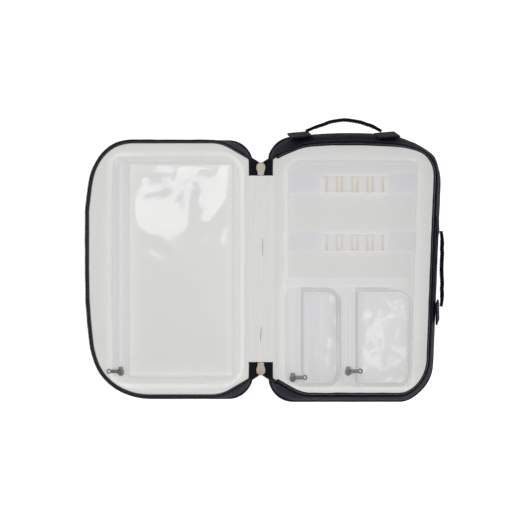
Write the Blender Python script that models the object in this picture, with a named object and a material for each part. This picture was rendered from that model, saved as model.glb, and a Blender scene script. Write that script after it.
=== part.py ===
"""A travel jewelry case: two soft zip-round halves on a fabric spine, lying open.

The back half holds an organiser panel with two elastic holder strips and two clear zip pouches.
The front half, or lid, holds one tall clear zip pocket. Lengths are in metres, +Z is up, and the
origin is on the underside of the back half, below the middle of its rim.
"""

import math

import bmesh
import bpy
from mathutils import Matrix, Vector

MM = 0.001

# ---------------------------------------------------------------- driving dimensions
RIM_WIDTH = 166 * MM  # across a half, from its fold line to its free side
RIM_LENGTH = 262 * MM  # along the spine
RIM_CORNER = 38 * MM  # radius of its four corners
SHELL_DEPTH = 25 * MM  # from the surface it lies on to the rim, the same for both halves
SPINE_WIDTH = 25 * MM  # between the two fold lines, which is the closed zip's width
TOP_LEAN = 12.5 * MM  # how far the back cover stands out beyond the rim, on each side
FREE_LEAN = 5.5 * MM
BOTTOM_LEAN = 6.5 * MM
SPINE_LEAN = 3 * MM
LID_LEANS = (1.5 * MM, 1 * MM, 3.5 * MM, SPINE_LEAN)  # the same for the lid's cover
COVER_TIGHTER = (14 * MM, 0.0)  # how much smaller than the rim's the covers' corner radii are

FIT = 0.3 * MM  # between two pieces that touch
COVER = 1.2 * MM  # outer fabric
BOARD = 2.0 * MM  # stiffener sheet
FOAM = 3.0 * MM
LINING = 0.8 * MM
FILM = 0.5 * MM  # clear vinyl
WEBBING = 0.8 * MM  # woven tape
CORNER_STEPS = 6
TAPE_CORNERS = (1 * MM, 1 * MM)

BACK_PIPING_RADIUS = 1.6 * MM
RIM_PIPING_RADIUS = 1.4 * MM
PIPING_SIDES = 6

ZIP_TAPE = 0.7 * MM  # thickness of the main zip's tape
ZIP_STAND = 12 * MM  # how far it stands above the rim
BACK_TAPE_LEAN = 3 * MM  # inwards at its edge, on the back half
LID_TAPE_LEAN = -1.5 * MM  # outwards, on the lid
SPINE_PAST_CORNER = 2.5 * MM  # how far the spine reaches past the start of the rim's corners
SPINE_SIDE_GAP = 0.8 * MM  # from its edge to the fold line
SPINE_LINING = 0.6 * MM
SLIDER_FROM_SPINE = 0.5 * MM
ZIP_END_IN_SPINE = 4 * MM  # length of tape sewn in
ZIP_SLOT_SHARE = 0.1  # of a slider's length, from its middle to where its tapes part
ZIP_END_ANGLE = math.radians(60)  # where it leaves the spine-side corners
CHAIN_WIDTH = 2.6 * MM
CHAIN_THICK = 1.3 * MM

# ---------------------------------------------------------------- organiser in the back half
PANEL_THICK = 3.0 * MM
PANEL_SPINE_MARGIN = 15 * MM  # from the fold line
PANEL_FREE_MARGIN = 17 * MM  # from the rim, and so on round
PANEL_TOP_MARGIN = 18 * MM
PANEL_BOTTOM_MARGIN = 8 * MM
FLOOR_MARGIN = 2.5 * MM  # lining floor beyond what lies on it
# How much smaller than the rim's the corner radii are, on the spine side and the free side.
PANEL_TIGHTER = (23 * MM, 30 * MM)
FLOOR_TIGHTER = {"back": (19 * MM, 27 * MM), "lid": (14 * MM, 25 * MM)}
POUCH_TIGHTER = (23 * MM, 23 * MM)
POCKET_TIGHTER = (20 * MM, 29 * MM)
OPENING_TIGHTER = (26 * MM, 35 * MM)

LOOP_TAPE_WIDTH = 21 * MM
LOOP_TAPE_IN = 1 * MM  # its ends from the panel's edges
LOOP_TAPE_SPACING = (0.165, 0.475)  # free length above each, as a share of what the two tapes leave
HOLDER_LENGTH = 69 * MM
HOLDER_WIDTH = 20.5 * MM
HOLDER_SHIFT = 2.5 * MM  # of the strips' middle towards the free side
HOLDER_DROP = 2 * MM  # of a strip's upper edge below its loop tape's
ELASTIC_WIDTH = 16.5 * MM
ELASTIC = 0.8 * MM
ELASTIC_LOOPS = 4
LOOP_WIDTH = 11.5 * MM
LOOP_HEIGHT = 4.0 * MM
LOOP_PITCH = 15.8 * MM
LOOP_STEPS = 8

HEADER_SHARE = 0.4746  # height of the band above the pouches, as a share of the panel's length
HEADER_WIDTH = 8 * MM
HEADER_SHORT = 6 * MM  # its end stops this far inside the right pouch's
POUCH_BOTTOM_IN = 1.2 * MM  # from the panel's bottom
POUCH_INSIDE = 5.0 * MM  # height of the room in a pouch
POUCH_WALL = 0.6 * MM
POUCH_SPINE_OUT = 2.5 * MM  # the left pouch's edge beyond the panel's
POUCH_FREE_IN = 3 * MM  # the right pouch's edge from the panel's
POUCH_GAP = 1 * MM
LEFT_POUCH_SHARE = 0.431  # of the width that both take
POUCH_ZIP_IN = (8 * MM, 7 * MM)  # the zip's middle from each pouch's spine-side edge
POUCH_ZIP_SHORT = 3 * MM  # the zip stops this far above the pouch's bottom
POUCH_TAPER = 4 * MM  # of the zip's outer tape at each end
POUCH_STRAP_IN = (30 * MM, 19 * MM)  # the strap that holds it, from the same edge
POUCH_STRAP_WIDTH = 12 * MM
POUCH_STRAP_SHORT = 4 * MM  # its ends from the pouch's

# ---------------------------------------------------------------- pocket in the lid
POCKET_SPINE_MARGIN = 8 * MM  # from the fold line
POCKET_FREE_MARGIN = 24 * MM  # from the rim, and so on round
POCKET_TOP_MARGIN = 14 * MM
POCKET_BOTTOM_MARGIN = 11.5 * MM
POCKET_INSIDE = 5.0 * MM
POCKET_SKIN = 0.9 * MM
POCKET_SLOPE = 1.2 * MM  # how far the frame's skirt leans in
POCKET_BORDER = 6 * MM
POCKET_ZIP_BORDER = 3 * MM
POCKET_ZIP_HALF = 7 * MM  # tape beside the zip's middle
POCKET_ZIP_SHORT = 0.6 * MM  # the zip stops this far inside the opening
POCKET_TAPER = 2.5 * MM
WINDOW_LAP = 1.6 * MM  # film laid over what it is sewn to

# ---------------------------------------------------------------- zips, sliders and pulls
ZIP_GAP = 1.2 * MM  # between the two halves of a zip, where a slider's post runs
SMALL_TAPE = 0.6 * MM
SMALL_CHAIN_WIDTH = 1.6 * MM  # of one half
SMALL_CHAIN_THICK = 0.9 * MM
MAIN_SLIDER = {
    "length": 13.4 * MM,
    "width": 9.4 * MM,
    "plate": 1.1 * MM,
    "pull": 18.5 * MM,
    "tab": 6.6 * MM,
}
SMALL_SLIDER = {
    "length": 9.4 * MM,
    "width": 6.8 * MM,
    "plate": 0.8 * MM,
    "pull": 15.0 * MM,
    "tab": 5.2 * MM,
}
BAIL_INSIDE = 0.95 * MM  # radius of the room under a slider's bail
BAIL_THICK = 0.9 * MM
BAIL_WIDTH = 1.6 * MM
PULL_THICK = 1.2 * MM
PULL_HOLE_SIDE = 0.4 * MM  # between the bail and the sides of the pull's hole
POUCH_SLIDER_UP = (0.0, 6.5 * MM)  # how far each slider rests above the low end of its travel
STOP_IN = 0.4 * MM  # from a zip's end to its end stop
STOP_LENGTH = 1.4 * MM
STOP_CORNERS = (0.5 * MM, 0.5 * MM)
SLIDER_END_GAP = 7 * MM  # from a small slider's middle to the end of its zip

# ---------------------------------------------------------------- handles
STRAP_WIDTH = 11 * MM  # webbing folded in two, in the grip
STRAP_THICK = 3.6 * MM
ANCHOR_WIDTH = 19 * MM
ANCHOR_LENGTH = 20 * MM
ANCHOR_THICK = 1.8 * MM
ANCHOR_CORNERS = (1.5 * MM, 1.5 * MM)
HANDLE_SPAN = 78 * MM
TOP_HANDLE_RISE = 11 * MM  # of a grip's middle above the line it swings on
TOP_HANDLE_SHIFT = -10 * MM  # of its middle along the top side
SIDE_HANDLE_RISE = 3 * MM
SIDE_HANDLE_SHIFT = 0.0
HANDLE_ROOT = 3.2 * MM  # from the wall to a grip's inner face where it starts to swing
HANDLE_TAPER = 0.15  # share of the span over which the strap widens from its root
HANDLE_STEPS = 16

# ---------------------------------------------------------------- heights, from the surface up
BOARD_LOW = COVER + FIT
FOAM_LOW = BOARD_LOW + BOARD + FIT
FLOOR_LOW = FOAM_LOW + FOAM + FIT
FLOOR_TOP = FLOOR_LOW + LINING
PANEL_LOW = FLOOR_TOP + FIT
PANEL_TOP = PANEL_LOW + PANEL_THICK
ON_PANEL = PANEL_TOP + FIT
ON_LOOP_TAPE = ON_PANEL + WEBBING + FIT
BACK_PIPING_Z = FIT + BACK_PIPING_RADIUS
GUSSET_LOW = BACK_PIPING_Z + BACK_PIPING_RADIUS + FIT
RIM_PIPING_Z = SHELL_DEPTH - RIM_PIPING_RADIUS - 0.1 * MM
GUSSET_TOP = RIM_PIPING_Z - RIM_PIPING_RADIUS - FIT
TAPE_OUT = RIM_PIPING_RADIUS + FIT  # the main tape's outer face, in from the rim
LINING_OUT = TAPE_OUT + ZIP_TAPE + FIT
POUCH_LOW = ON_LOOP_TAPE
POUCH_FLOOR = POUCH_LOW + POUCH_WALL
POUCH_TAPE_LOW = POUCH_FLOOR + POUCH_INSIDE
POCKET_LOW = FLOOR_TOP + FIT
POCKET_TAPE_LOW = POCKET_LOW + POCKET_INSIDE

FOLD_X = -RIM_WIDTH / 2  # the fold between the back half and the spine
LID_FOLD_X = FOLD_X - SPINE_WIDTH
SPINE_X = (FOLD_X + LID_FOLD_X) / 2

# ---------------------------------------------------------------- materials
COLOURS = {
    "navy_fabric": ((0.022, 0.026, 0.042), 0.75, 0.0),
    "navy_piping": ((0.035, 0.040, 0.058), 0.55, 0.0),
    "navy_webbing": ((0.014, 0.016, 0.026), 0.8, 0.0),
    "navy_coil": ((0.012, 0.013, 0.020), 0.45, 0.0),
    "white_lining": ((0.62, 0.62, 0.62), 0.8, 0.0),
    "white_tape": ((0.66, 0.66, 0.67), 0.7, 0.0),
    "lavender_tape": ((0.64, 0.63, 0.70), 0.85, 0.0),
    "cream_elastic": ((0.68, 0.67, 0.65), 0.85, 0.0),
    "clear_vinyl": ((0.80, 0.80, 0.80), 0.1, 0.0),
    "board": ((0.30, 0.30, 0.32), 0.6, 0.0),
    "foam": ((0.75, 0.74, 0.70), 0.9, 0.0),
    "champagne_metal": ((0.55, 0.50, 0.42), 0.4, 0.6),
    "gunmetal": ((0.20, 0.20, 0.19), 0.35, 1.0),
}


def material(name):
    """The Principled material of that name, made once."""
    found = bpy.data.materials.get(name)
    if found:
        return found
    colour, roughness, metallic = COLOURS[name]
    made = bpy.data.materials.new(name)
    made.use_nodes = True
    shader = made.node_tree.nodes["Principled BSDF"]
    shader.inputs["Base Color"].default_value = (*colour, 1)
    shader.inputs["Roughness"].default_value = roughness
    shader.inputs["Metallic"].default_value = metallic
    made.diffuse_color = (*colour, 1)
    return made


# ---------------------------------------------------------------- shapes
def finish(name, mesh, finish_name, smooth=True):
    """One named object from a bmesh, with its faces outwards and its material."""
    bmesh.ops.recalc_face_normals(mesh, faces=mesh.faces)
    data = bpy.data.meshes.new(name)
    mesh.to_mesh(data)
    mesh.free()
    if smooth:
        data.shade_smooth()
        data.set_sharp_from_angle(angle=math.radians(35))
    data.materials.append(material(finish_name))
    made = bpy.data.objects.new(name, data)
    bpy.context.scene.collection.objects.link(made)
    return made


def outline(box, corners, steps=CORNER_STEPS):
    """A rounded rectangle as points, anticlockwise from its low corner on the spine side. corners
    are the radii on the spine side and on the free side."""
    low_u, high_u, low_v, high_v = box
    spine_side, free_side = (max(corner, 0.5 * MM) for corner in corners)
    centres = (
        (low_u + spine_side, low_v + spine_side, 180, spine_side),
        (high_u - free_side, low_v + free_side, 270, free_side),
        (high_u - free_side, high_v - free_side, 0, free_side),
        (low_u + spine_side, high_v - spine_side, 90, spine_side),
    )
    points = []
    for centre_u, centre_v, start, corner in centres:
        for step in range(steps + 1):
            angle = math.radians(start + 90 * step / steps)
            points.append((centre_u + corner * math.cos(angle), centre_v + corner * math.sin(angle)))
    return points


def tighter(by, inset=0.0):
    """Corner radii smaller than the rim's, for the spine side and the free side."""
    spine_side, free_side = by if isinstance(by, tuple) else (by, by)
    return (RIM_CORNER - spine_side - inset, RIM_CORNER - free_side - inset)


def inset_box(box, inset):
    low_u, high_u, low_v, high_v = box
    return (low_u + inset, high_u - inset, low_v + inset, high_v - inset)


def in_back(u, v, z):
    """A point of the back half: u from its fold line to its free side, v along the spine."""
    return Vector((FOLD_X + u, v, z))


def in_lid(u, v, z):
    """The same for the lid, which lies on the other side of the spine."""
    return Vector((LID_FOLD_X - u, v, z))


def loft(name, place, loops, finish_name, closed_path=True, ring=False):
    """Joins loops of (u, v, z) points by faces. A ring's last loop meets its first, and other lofts
    are capped. An open path gets end caps across its loops instead."""
    mesh = bmesh.new()
    rows = [[mesh.verts.new(place(*point)) for point in loop] for loop in loops]
    count = len(rows[0])
    pairs = list(zip(rows, rows[1:], strict=False))
    if ring:
        pairs.append((rows[-1], rows[0]))
    for low, high in pairs:
        for i in range(count if closed_path else count - 1):
            j = (i + 1) % count
            mesh.faces.new((low[i], low[j], high[j], high[i]))
    if not ring:
        mesh.faces.new(rows[0][::-1])
        mesh.faces.new(rows[-1])
    if not closed_path:
        mesh.faces.new([row[0] for row in rows])
        mesh.faces.new([row[-1] for row in rows][::-1])
    return finish(name, mesh, finish_name)


def slab(name, place, box, corners, low, thick, finish_name):
    """A flat sheet with round corners."""
    points = outline(box, corners)
    loops = [[(u, v, z) for u, v in points] for z in (low, low + thick)]
    return loft(name, place, loops, finish_name)


def prism(name, outlines, depth, finish_name, matrix):
    """A flat shape with holes, drawn in X and Y and pushed along Z by depth, then placed."""
    mesh = bmesh.new()
    edges = []
    for points in outlines:
        ring = [mesh.verts.new((x, y, 0)) for x, y in points]
        edges += [mesh.edges.new((a, b)) for a, b in zip(ring, ring[1:] + ring[:1], strict=True)]
    bmesh.ops.triangle_fill(mesh, edges=edges, use_beauty=True, use_dissolve=False)
    pushed = bmesh.ops.extrude_face_region(mesh, geom=list(mesh.faces))
    moved = [item for item in pushed["geom"] if isinstance(item, bmesh.types.BMVert)]
    bmesh.ops.translate(mesh, verts=moved, vec=(0, 0, depth))
    bmesh.ops.transform(mesh, matrix=matrix, verts=mesh.verts)
    return finish(name, mesh, finish_name)


def join_with(target, *others):
    """Unites the others with target and keeps them as helpers that aren't part of the model."""
    for other in others:
        union = target.modifiers.new(f"join_{other.name}", "BOOLEAN")
        union.operation = "UNION"
        union.object = other
        other.hide_render = True
        other.display_type = "WIRE"


# ---------------------------------------------------------------- outer shells
NO_LEANS = (0, 0, 0, 0)


def rim_box(flare, leans):
    """The outline's box at the rim, for flare 0, or at the outer cover, for flare 1."""
    top, free, bottom, spine = leans
    half = RIM_LENGTH / 2
    return (-spine * flare, RIM_WIDTH + free * flare, -half - bottom * flare, half + top * flare)


def wall_flare(z):
    """How far down the slope of the wall a height lies, from 0 at the rim to 1 at the cover."""
    return (SHELL_DEPTH - z) / (SHELL_DEPTH - BACK_PIPING_Z)


def wall_corners(flare, inset):
    """The wall's corner radii part of the way down its slope."""
    return tighter(tuple(by * flare for by in COVER_TIGHTER), inset)


def ring_loop(inset, z, leans, flare):
    points = outline(inset_box(rim_box(flare, leans), inset), wall_corners(flare, inset))
    return [(u, v, z) for u, v in points]


def zip_path(inset, z):
    """The rim from one spine-side corner round the free side to the other, where the zip runs."""
    points = outline(inset_box(rim_box(0, NO_LEANS), inset), tighter(inset))
    skipped = round(CORNER_STEPS * (1 - ZIP_END_ANGLE / math.radians(90)))
    return [(u, v, z) for u, v in points[skipped : len(points) - skipped]]


def cord_profile(radius, height):
    """(inset, z) round a cord whose middle lies on the outline."""
    turns = [2 * math.pi * (side + 0.5) / PIPING_SIDES for side in range(PIPING_SIDES)]
    return [(radius * math.cos(turn), height + radius * math.sin(turn)) for turn in turns]


def make_shell(half, place, leans, tape_lean):
    """The outer cover, its stiffener and foam, the wall, both pipings and the half's zip tape."""
    cover_in = BACK_PIPING_RADIUS + FIT
    in_wall = COVER + 2 * FIT
    sheets = (
        ("cover", cover_in, 1, 0, COVER, "navy_fabric"),
        ("board", in_wall, wall_flare(FOAM_LOW), BOARD_LOW, BOARD, "board"),
        ("foam", in_wall, wall_flare(FOAM_LOW + FOAM), FOAM_LOW, FOAM, "foam"),
    )
    for part, inset, flare, low, thick, finish_name in sheets:
        box = inset_box(rim_box(flare, leans), inset)
        slab(f"{half}_{part}", place, box, wall_corners(flare, inset), low, thick, finish_name)

    wall = ((0, GUSSET_LOW), (0, GUSSET_TOP), (COVER, GUSSET_TOP), (COVER, GUSSET_LOW))
    loops = [ring_loop(inset, z, leans, wall_flare(z)) for inset, z in wall]
    loft(f"{half}_gusset", place, loops, "navy_fabric", ring=True)

    cord = cord_profile(BACK_PIPING_RADIUS, BACK_PIPING_Z)
    loops = [ring_loop(inset, z, leans, 1) for inset, z in cord]
    loft(f"{half}_cover_piping", place, loops, "navy_piping", ring=True)

    cord = cord_profile(RIM_PIPING_RADIUS, RIM_PIPING_Z)
    loops = [zip_path(inset, z) for inset, z in cord]
    loft(f"{half}_rim_piping", place, loops, "navy_piping", closed_path=False, ring=True)

    low = GUSSET_TOP + FIT
    edge = SHELL_DEPTH + ZIP_STAND
    bend = SHELL_DEPTH + FIT
    inner = TAPE_OUT + ZIP_TAPE
    tape = (
        (TAPE_OUT, low),
        (TAPE_OUT, bend),
        (TAPE_OUT + tape_lean, edge),
        (inner + tape_lean, edge),
        (inner, bend),
        (inner, low),
    )
    loops = [zip_path(inset, z) for inset, z in tape]
    loft(f"{half}_zip_tape", place, loops, "navy_webbing", closed_path=False, ring=True)

    chain_low = edge - CHAIN_WIDTH - FIT
    chain = []
    for z in (chain_low, edge - FIT):
        face = TAPE_OUT + tape_lean * (z - bend) / (edge - bend) - FIT
        chain.append(((face, z), (face - CHAIN_THICK, z)))
    profile = (chain[0][0], chain[0][1], chain[1][1], chain[1][0])
    loops = [zip_path(inset, z) for inset, z in profile]
    loft(f"{half}_zip_chain", place, loops, "navy_coil", closed_path=False, ring=True)


def make_lining(half, place, floor_box):
    """A soft tray from the rim down to a floor that lies on the foam."""
    top = SHELL_DEPTH
    slope = LINING * 0.9
    rim_at = rim_box(0, NO_LEANS)
    rim = outline(inset_box(rim_at, LINING_OUT), tighter(LINING_OUT))
    inner_rim = outline(inset_box(rim_at, LINING_OUT + slope), tighter(LINING_OUT + slope))
    floor = outline(inset_box(floor_box, -slope), tighter(FLOOR_TIGHTER[half], -slope))
    inner_floor = outline(floor_box, tighter(FLOOR_TIGHTER[half]))
    loops = [
        [(u, v, FLOOR_LOW) for u, v in floor],
        [(u, v, top) for u, v in rim],
        [(u, v, top) for u, v in inner_rim],
        [(u, v, FLOOR_TOP) for u, v in inner_floor],
    ]
    return loft(f"{half}_lining", place, loops, "white_lining")


# ---------------------------------------------------------------- sliders and pulls
def slider_outline(length, width):
    """A slider's plate: a round nose in front, at +Y, its shoulders, and a narrower tail."""
    half = [
        (0.00, 0.500),
        (0.17, 0.475),
        (0.30, 0.390),
        (0.45, 0.230),
        (0.50, 0.080),
        (0.46, -0.060),
        (0.37, -0.200),
        (0.34, -0.330),
        (0.36, -0.460),
        (0.31, -0.500),
    ]
    right = [(x * width, y * length) for x, y in half]
    left = [(-x, y) for x, y in right[:0:-1]]
    return right + left


def make_slider(name, size, room, sideways, matrix, finish_name):
    """Two plates on a thin post, with a bail on the outer plate. The room between the plates is
    centred on Z 0, and the bail points along +Z. Returns the height of the pull's axis."""
    plate = size["plate"]
    shape = slider_outline(size["length"], size["width"])
    outer = prism(name, [shape], plate, finish_name, matrix @ Matrix.Translation((0, 0, room / 2)))
    inner_at = matrix @ Matrix.Translation((0, 0, -room / 2 - plate))
    inner = prism(f"{name}_inner_plate", [shape], plate, finish_name, inner_at)
    overlap = plate / 2
    blade = ZIP_GAP / 2 - FIT
    post_from, post_to = 0.02 * size["length"], 0.40 * size["length"]
    post_shape = [(-blade, post_from), (blade, post_from), (blade, post_to), (-blade, post_to)]
    post_at = matrix @ Matrix.Translation((0, 0, -room / 2 - overlap))
    post = prism(f"{name}_post", [post_shape], room + 2 * overlap, finish_name, post_at)

    axis = room / 2 + plate + BAIL_INSIDE
    outside = BAIL_INSIDE + BAIL_THICK
    foot = -BAIL_INSIDE - overlap
    turns = [math.pi * step / 8 for step in range(9)]
    over = [(outside * math.cos(turn), outside * math.sin(turn)) for turn in turns]
    under = [(BAIL_INSIDE * math.cos(turn), BAIL_INSIDE * math.sin(turn)) for turn in turns]
    arch = [(outside, foot), *over, (-outside, foot)]
    arch += [(-BAIL_INSIDE, foot), *under[::-1], (BAIL_INSIDE, foot)]
    turn = Matrix.Rotation(math.radians(90), 4, "X")
    if not sideways:
        turn = Matrix.Rotation(math.radians(90), 4, "Z") @ turn
    centred = Matrix.Translation((0, 0, -BAIL_WIDTH / 2))
    bail_at = matrix @ Matrix.Translation((0, 0, axis)) @ turn @ centred
    bail = prism(f"{name}_bail", [arch], BAIL_WIDTH, finish_name, bail_at)
    join_with(outer, inner, post, bail)
    return axis


def make_pull(name, size, matrix, finish_name):
    """A flat pull whose bar lies on X at its origin, with its tab towards +Y and an eye at the end."""
    bar = PULL_THICK / 2
    hole_half = BAIL_WIDTH / 2 + PULL_HOLE_SIDE
    hole_to = BAIL_INSIDE + BAIL_THICK + PULL_HOLE_SIDE
    head_half = hole_half + 1.1 * MM
    head_to = hole_to + 1.1 * MM
    waist = 0.36 * size["tab"]
    eye = size["tab"] / 2
    eye_at = size["pull"] - eye
    start = math.asin(waist / eye)
    around = [start + (2 * math.pi - 2 * start) * step / 14 for step in range(15)]
    end = [(eye * math.sin(turn), eye_at - eye * math.cos(turn)) for turn in around]
    shape = [(-head_half, -bar), (head_half, -bar), (head_half, head_to), (waist, head_to + 0.8 * MM)]
    shape += [*end, (-waist, head_to + 0.8 * MM), (-head_half, head_to)]
    hole = [(-hole_half, bar), (-hole_half, hole_to), (hole_half, hole_to), (hole_half, bar)]
    turns = [2 * math.pi * step / 12 for step in range(12)]
    eye_hole = [(0.5 * eye * math.cos(turn), eye_at + 0.5 * eye * math.sin(turn)) for turn in turns]
    at = matrix @ Matrix.Translation((0, 0, -bar))
    return prism(name, [shape, hole, eye_hole], PULL_THICK, finish_name, at)


# ---------------------------------------------------------------- small zips
def zip_half(name, place, u_from, u_to, v_range, low, taper=0.0):
    """One tape of a small zip with its half of the chain, which stands up at its u_to edge. The
    other edge draws in by taper at both ends, to follow a round corner."""
    top = low + SMALL_TAPE
    high = top + SMALL_CHAIN_THICK
    along = 1 if u_to > u_from else -1
    chain_from = u_to - along * SMALL_CHAIN_WIDTH
    first, last = v_range
    loops = []
    for v, drawn in ((first, taper), (first + 2 * taper, 0), (last - 2 * taper, 0), (last, taper)):
        edge = u_from + along * drawn
        if taper or v in v_range:
            section = [(edge, low), (u_to, low), (u_to, high)]
            section += [(chain_from, high), (chain_from, top), (edge, top)]
            loops.append([(u, v, z) for u, z in section])
    if not taper:
        loops = [loops[0], loops[-1]]
    return loft(name, place, loops, "white_tape")


def make_small_zip(zip_name, place, middle, reach, v_range, low, tapers, rest_up=0.0):
    """Two tapes held together by an end stop at each end, a slider near the low end and its pull,
    which lies across the zip. reach is how far the tapes go towards the fold line and towards the
    free side, where the pull points."""
    near, far = reach
    slot = ZIP_GAP / 2
    tape = zip_half(f"{zip_name}_zip", place, middle - near, middle - slot, v_range, low, tapers[0])
    far_from, far_to = middle + far, middle + slot
    far_tape = zip_half(f"{zip_name}_zip_far_tape", place, far_from, far_to, v_range, low, tapers[1])
    side = slot + SMALL_CHAIN_WIDTH / 2
    stops = []
    stop_low = low + 0.1 * MM
    height = SMALL_TAPE + SMALL_CHAIN_THICK
    for end, from_v in (("low", v_range[0] + STOP_IN), ("high", v_range[1] - STOP_IN - STOP_LENGTH)):
        box = (middle - side, middle + side, from_v, from_v + STOP_LENGTH)
        stop_name = f"{zip_name}_zip_{end}_stop"
        stops.append(slab(stop_name, place, box, STOP_CORNERS, stop_low, height, "white_tape"))
    join_with(tape, far_tape, *stops)
    room = SMALL_TAPE + SMALL_CHAIN_THICK + 2 * FIT
    at = place(middle, v_range[0] + SLIDER_END_GAP + rest_up, low - FIT + room / 2)
    stand = Matrix.Translation(at) @ Matrix.Rotation(math.pi, 4, "Z")
    axis = make_slider(f"{zip_name}_slider", SMALL_SLIDER, room, True, stand, "gunmetal")
    to_free_side = place(1, 0, 0).x - place(0, 0, 0).x
    turn = Matrix.Rotation(math.radians(-90 * to_free_side), 4, "Z")
    pull_at = Matrix.Translation(at + Vector((0, 0, axis))) @ turn
    make_pull(f"{zip_name}_pull", SMALL_SLIDER, pull_at, "gunmetal")


# ---------------------------------------------------------------- back half
def panel_box():
    half = RIM_LENGTH / 2
    free = RIM_WIDTH - PANEL_FREE_MARGIN
    return (PANEL_SPINE_MARGIN, free, -half + PANEL_BOTTOM_MARGIN, half - PANEL_TOP_MARGIN)


def header_top():
    """The upper edge of the band above the pouches."""
    _, _, low_v, high_v = panel_box()
    return low_v + HEADER_SHARE * (high_v - low_v)


def make_holder(name, top):
    """A backing strip with an elastic band sewn over it in loops."""
    panel = panel_box()
    middle = (panel[0] + panel[1]) / 2 + HOLDER_SHIFT
    half = HOLDER_LENGTH / 2
    box = (middle - half, middle + half, top - HOLDER_WIDTH, top)
    slab(f"{name}_backing", in_back, box, TAPE_CORNERS, ON_LOOP_TAPE, WEBBING, "white_tape")
    low = ON_LOOP_TAPE + WEBBING + FIT
    high = low + ELASTIC
    over, under = [(middle - half + ELASTIC, high)], [(middle - half + ELASTIC, low)]
    for loop in range(ELASTIC_LOOPS):
        centre = middle + (loop - (ELASTIC_LOOPS - 1) / 2) * LOOP_PITCH
        for step in range(LOOP_STEPS + 1):
            turn = math.pi * (1 - step / LOOP_STEPS)
            across, up = math.cos(turn), math.sin(turn)
            over.append((centre + LOOP_WIDTH / 2 * across, high + LOOP_HEIGHT * up))
            under.append((centre + (LOOP_WIDTH / 2 - ELASTIC) * across, low + LOOP_HEIGHT * up))
    over.append((middle + half - ELASTIC, high))
    under.append((middle + half - ELASTIC, low))
    section = over + under[::-1]
    margin = (HOLDER_WIDTH - ELASTIC_WIDTH) / 2
    loops = [[(u, v, z) for u, z in section] for v in (top - margin, top - margin - ELASTIC_WIDTH)]
    loft(f"{name}_elastic", in_back, loops, "cream_elastic")


def film_outline(box):
    """Square corners beside the zip and round ones on the free side."""
    low_u, high_u, low_v, high_v = box
    corner = tighter(POUCH_TIGHTER)[1]
    points = [(low_u, low_v)]
    for centre_v, start in ((low_v + corner, 270), (high_v - corner, 0)):
        for step in range(CORNER_STEPS + 1):
            angle = math.radians(start + 90 * step / CORNER_STEPS)
            points.append((high_u - corner + corner * math.cos(angle), centre_v + corner * math.sin(angle)))
    points.append((low_u, high_v))
    return points


def make_pouch(name, span, zip_in, strap_in, slider_up):
    """A clear tray, the film that closes it, its zip, and the strap that holds it to the panel."""
    top = header_top() - HEADER_WIDTH - FIT
    box = (*span, panel_box()[2] + POUCH_BOTTOM_IN, top)
    strap = (span[0] + strap_in - POUCH_STRAP_WIDTH / 2, span[0] + strap_in + POUCH_STRAP_WIDTH / 2)
    strap_box = (*strap, box[2] + POUCH_STRAP_SHORT, top - POUCH_STRAP_SHORT)
    slab(f"{name}_strap", in_back, strap_box, TAPE_CORNERS, ON_PANEL, WEBBING, "lavender_tape")
    wall_top = POUCH_TAPE_LOW - FIT
    inner = inset_box(box, POUCH_WALL)
    corners, inner_corners = tighter(POUCH_TIGHTER), tighter(POUCH_TIGHTER, POUCH_WALL)
    layers = ((box, corners, POUCH_LOW), (box, corners, wall_top))
    layers += ((inner, inner_corners, wall_top), (inner, inner_corners, POUCH_FLOOR))
    loops = [[(u, v, z) for u, v in outline(around, corners)] for around, corners, z in layers]
    loft(f"{name}_tray", in_back, loops, "clear_vinyl")
    middle = span[0] + zip_in
    far = min(zip_in, POCKET_ZIP_HALF) - FIT
    zip_range = (box[2] + POUCH_ZIP_SHORT, box[3])
    tapers = (POUCH_TAPER, 0)
    make_small_zip(name, in_back, middle, (zip_in, far), zip_range, POUCH_TAPE_LOW, tapers, slider_up)
    film_box = (middle + far + FIT, box[1], box[2], box[3])
    film = film_outline(film_box)
    loops = [[(u, v, z) for u, v in film] for z in (POUCH_TAPE_LOW, POUCH_TAPE_LOW + FILM)]
    loft(f"{name}_film", in_back, loops, "clear_vinyl")


def make_back_half():
    make_shell("back", in_back, (TOP_LEAN, FREE_LEAN, BOTTOM_LEAN, SPINE_LEAN), BACK_TAPE_LEAN)
    panel = panel_box()
    make_lining("back", in_back, inset_box(panel, -FLOOR_MARGIN))
    slab("organiser_panel", in_back, panel, tighter(PANEL_TIGHTER), PANEL_LOW, PANEL_THICK, "white_lining")
    free_length = panel[3] - header_top() - 2 * LOOP_TAPE_WIDTH
    top = panel[3]
    for name, share in zip(("upper", "lower"), LOOP_TAPE_SPACING, strict=True):
        top -= share * free_length
        box = (panel[0] + LOOP_TAPE_IN, panel[1] - LOOP_TAPE_IN, top - LOOP_TAPE_WIDTH, top)
        slab(f"{name}_loop_tape", in_back, box, TAPE_CORNERS, ON_PANEL, WEBBING, "lavender_tape")
        make_holder(f"{name}_holder", top - HOLDER_DROP)
        top -= LOOP_TAPE_WIDTH

    first, last = panel[0] - POUCH_SPINE_OUT, panel[1] - POUCH_FREE_IN
    split = first + LEFT_POUCH_SHARE * (last - first)
    header = (first, last - HEADER_SHORT, header_top() - HEADER_WIDTH, header_top())
    slab("pouch_header", in_back, header, TAPE_CORNERS, ON_PANEL, WEBBING, "white_tape")
    spans = ((first, split - POUCH_GAP / 2), (split + POUCH_GAP / 2, last))
    sides = zip(("left", "right"), spans, POUCH_ZIP_IN, POUCH_STRAP_IN, POUCH_SLIDER_UP, strict=True)
    for side, span, zip_in, strap_in, slider_up in sides:
        make_pouch(f"{side}_pouch", span, zip_in, strap_in, slider_up)


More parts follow.
